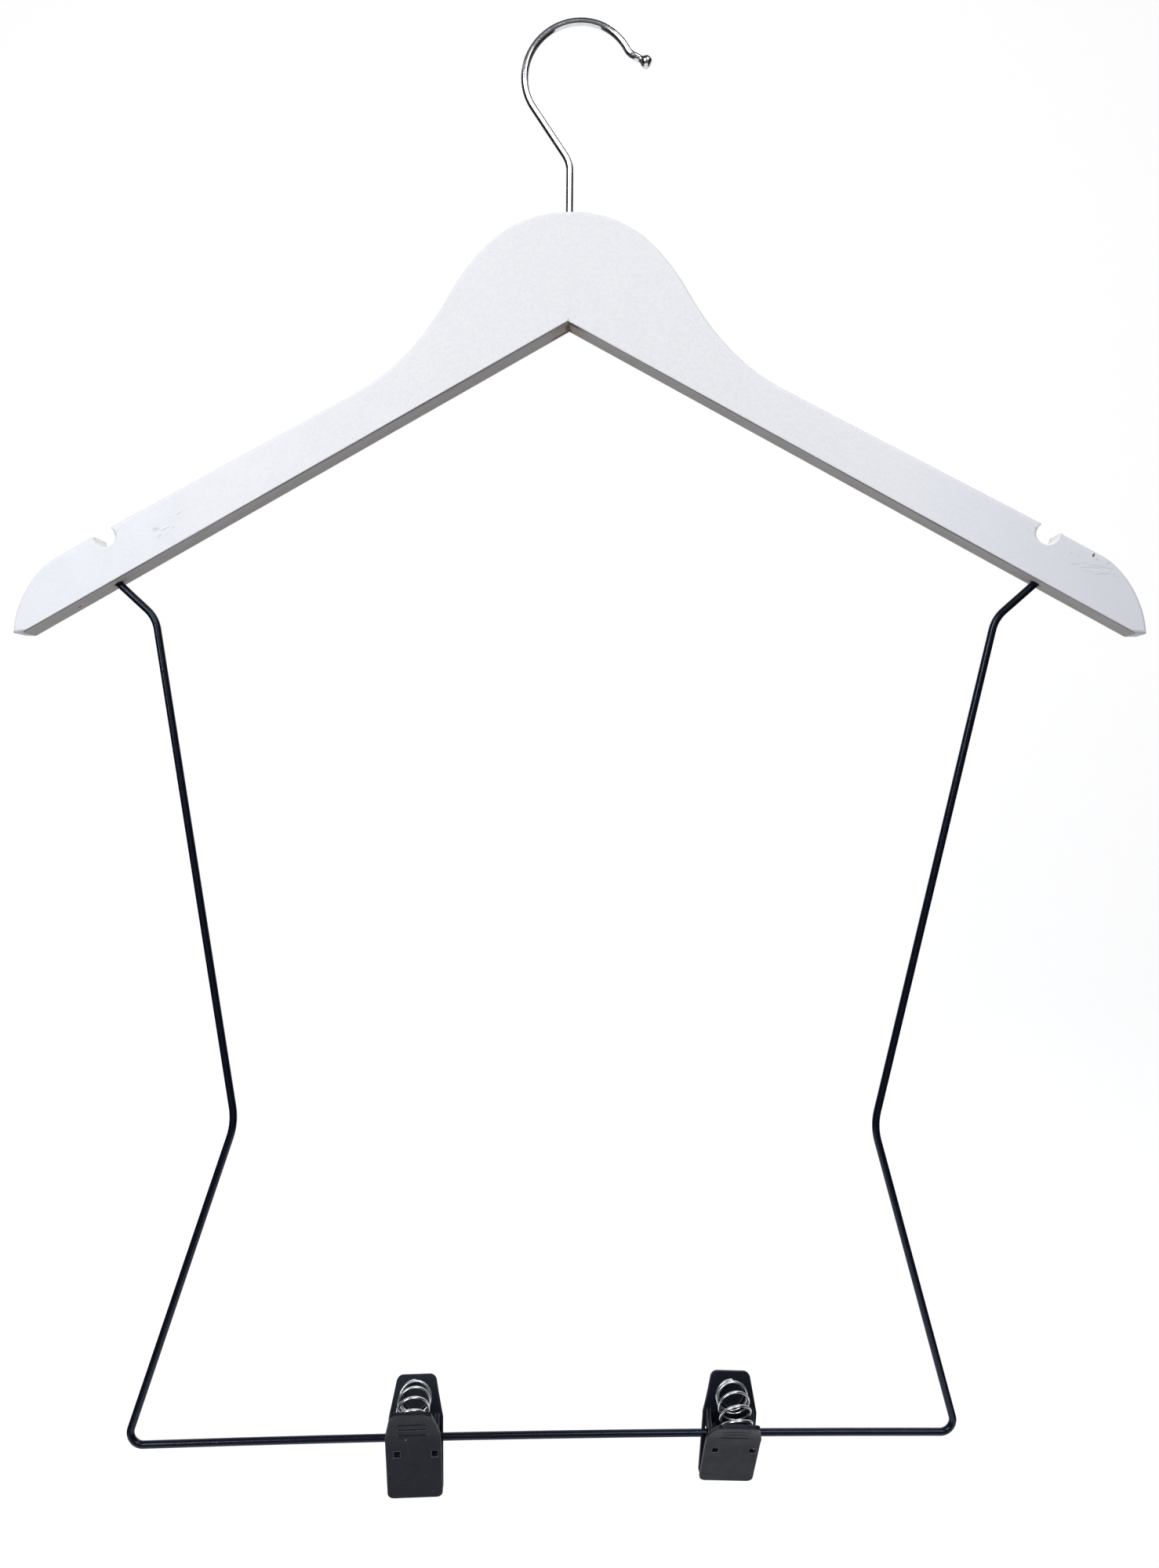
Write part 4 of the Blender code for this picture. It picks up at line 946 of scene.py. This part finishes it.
def eye_rib(middle):
    """One eye round the bar and the web that carries it, wrapped as one body."""
    ends = [(middle + half * EYE_THICKNESS / 2, 0, 0) for half in (-1, 1)]
    bm = barrel(EYE_RADIUS, *ends)
    for along in (-WEB_DROP, WEB_RISE):
        place, outward, _ = below_bend(-along)
        for x, _, _ in ends:
            bm.verts.new(place - outward * (PLATE_THICKNESS / 2) + ACROSS * x)
    made = bmesh.ops.convex_hull(bm, input=bm.verts)
    spare = made["geom_interior"] + made["geom_unused"]
    spare = [g for g in spare if isinstance(g, bmesh.types.BMVert)]
    bmesh.ops.delete(bm, geom=spare, context="VERTS")
    bmesh.ops.dissolve_limit(bm, angle_limit=FLAT_ANGLE, verts=bm.verts, edges=bm.edges)
    return bm


def slab(place, outward, up, size):
    """A cutting block on the plate's outer face. size is width, length up the plate and depth."""
    bm = bmesh.new()
    width, length, depth = size
    lay = Matrix((ACROSS, up, outward)).transposed().to_4x4()
    scale = Matrix.Diagonal((width, length, depth * 2, 1))
    bmesh.ops.create_cube(bm, size=1, matrix=Matrix.Translation(place) @ lay @ scale)
    return bm


def make_plate(clip, face, plastic):
    """A jaw and handle in one piece, made as a rear plate and mirrored for the front."""
    name = f"{clip}_{face}"
    obj = as_object(plate_blank(), name + "_jaw", plastic)
    seat, outward, _ = on_plate(SEAT_FROM_TOP)
    inner = seat - outward * PLATE_THICKNESS
    boss = barrel(BOSS_RADIUS, inner + outward * BOSS_ROOT, inner - outward * BOSS_HEIGHT)
    carve(obj, "UNION", boss)
    for side in (-1, 1):
        carve(obj, "UNION", eye_rib(side * EYE_PLACES[face]))
    reach = ACROSS * JAW_WIDTH
    carve(obj, "DIFFERENCE", barrel(BAR_BORE, -reach, reach))
    for i in range(GRIP_LINES):
        place, outward, up = on_plate(GRIP_FROM_TOP + GRIP_PITCH * i)
        outward, up = (outward + up).normalized(), (up - outward).normalized()
        carve(obj, "DIFFERENCE", slab(place, outward, up, GRIP_SIZE))
    moved, risen = (WINDOW_SHIFT, 0.0) if face == "front" else (-WINDOW_SHIFT, REAR_WINDOW_RISE)
    place, outward, up = below_bend(WINDOW_DROP - risen)
    size = (WINDOW_WIDTH, WINDOW_HEIGHT, PLATE_THICKNESS * 2)
    for side in (-1, 1):
        middle = place + ACROSS * (side * WINDOW_PLACE + moved)
        carve(obj, "DIFFERENCE", slab(middle, outward, up, size))
    bm = bmesh.new()
    bm.from_mesh(obj.data)
    bpy.data.objects.remove(obj)
    bmesh.ops.remove_doubles(bm, verts=bm.verts, dist=WELD)
    bmesh.ops.dissolve_limit(bm, angle_limit=FLAT_ANGLE, verts=bm.verts, edges=bm.edges)
    soften(bm, PLATE_SOFT_EDGE)
    if face == "front":
        bmesh.ops.scale(bm, vec=(1, -1, 1), verts=bm.verts)
    bmesh.ops.recalc_face_normals(bm, faces=bm.faces)
    bmesh.ops.transform(bm, matrix=clip_place(clip), verts=bm.verts)
    obj = even_shading(as_object(bm, name + "_jaw", plastic))
    return fit(obj, name, "clip_plastic", name + "_plate")


def coil_place(turn):
    """The coil's angle along its arc after this many turns, even between their tops."""
    tops = [0.0] + [i + 0.5 for i in range(len(SPRING_ANGLES) - 1)]
    for i, (low, high) in enumerate(zip(tops, tops[1:])):
        if turn <= high:
            share = (turn - low) / (high - low)
            return radians(SPRING_ANGLES[i] + (SPRING_ANGLES[i + 1] - SPRING_ANGLES[i]) * share)
    return radians(SPRING_ANGLES[-1])


def wind_spring():
    """A coil wound straight, its end turns close, then bent to its arc between the handles."""
    start = (0, coil_place(0) * SPRING_ARC_RADIUS, -SPRING_RADIUS)
    wire = Wire(start, -ACROSS, SPRING_WIRE, sides=SPRING_SIDES)
    turns = len(SPRING_ANGLES) - 1.5
    places = [coil_place(i / SPRING_STEPS) for i in range(round(turns * SPRING_STEPS) + 1)]
    eased = []
    for i in range(len(places)):
        near = places[max(0, i - SPRING_EASE):i + SPRING_EASE + 1]
        eased.append(sum(near) / len(near))
    for before, after in zip(eased, eased[1:]):
        size = {"axis": BACK, "angle": 2 * pi / SPRING_STEPS, "steps": 1}
        size["dvec"] = BACK * (after - before) * SPRING_ARC_RADIUS
        wire.ring = bmesh.ops.spin(wire.bm, geom=wire.ring, cent=(0, 0, 0), **size)["geom_last"]
    bm = wire.close()
    for v in bm.verts:
        angle, reach = v.co.y / SPRING_ARC_RADIUS, SPRING_ARC_RADIUS + v.co.z
        v.co = (v.co.x, reach * sin(angle), SPRING_ARC_HEIGHT + reach * cos(angle))
    return bm


def make_spring(clip, steel):
    bm, place = wind_spring(), clip_place(clip)
    bmesh.ops.transform(bm, matrix=place, verts=bm.verts)
    obj = as_object(bm, clip + "_coil", steel)
    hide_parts(clip + "_spring")
    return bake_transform(obj)


def dress(node, made):
    """A CAD node that stays gets its finish."""
    slots = frame["nodes"][node].material_slots
    if not slots:
        frame["nodes"][node].data.materials.append(made)
    for place in frame["nodes"][node].material_slots:
        place.material = made


def main():
    aim_camera()
    light_room()
    build_stage()
    for name, place in CARD_PLACES.items():
        hang_card(name, place, (CARD_LENGTH, CARD_HEIGHT), upright=True)
    hang_card("top_card", TOP_CARD_PLACE, TOP_CARD_SIZE, upright=False)
    left = white_paint("white_paint_left", -1, LEFT_MARKS, greyed=0.0)
    # greyed paints shade on the right tip
    right = white_paint("white_paint_right", 1, RIGHT_MARKS, greyed=0.65)
    make_shoulder("left_shoulder", -1, left)
    make_shoulder("right_shoulder", 1, right)
    make_hook(bright_metal("hook_chrome", (0.74, 0.75, 0.77), dull=0.05, line_turn=0.0))
    make_frame(black_coating())
    zinc = zinc_plate()
    coil = bright_metal("spring_steel", (0.84, 0.85, 0.88), dull=0.16, line_turn=1.57)
    front = charcoal_plastic("front_plastic", tint=(0.0045, 0.005, 0.0085))
    # the rear plates' darker tint is painted shade, as they sit behind the front plates
    rear = charcoal_plastic("rear_plastic_shaded", tint=(0.0022, 0.0034, 0.0065))
    for clip in CLIP_TURNS:
        make_plate(clip, "front", front)
        make_plate(clip, "rear", rear)
        make_spring(clip, coil)
    dress("hook_washer", zinc)
    dress("hook_nut", zinc)
    bpy.context.scene.view_settings.view_transform = "Standard"


main()
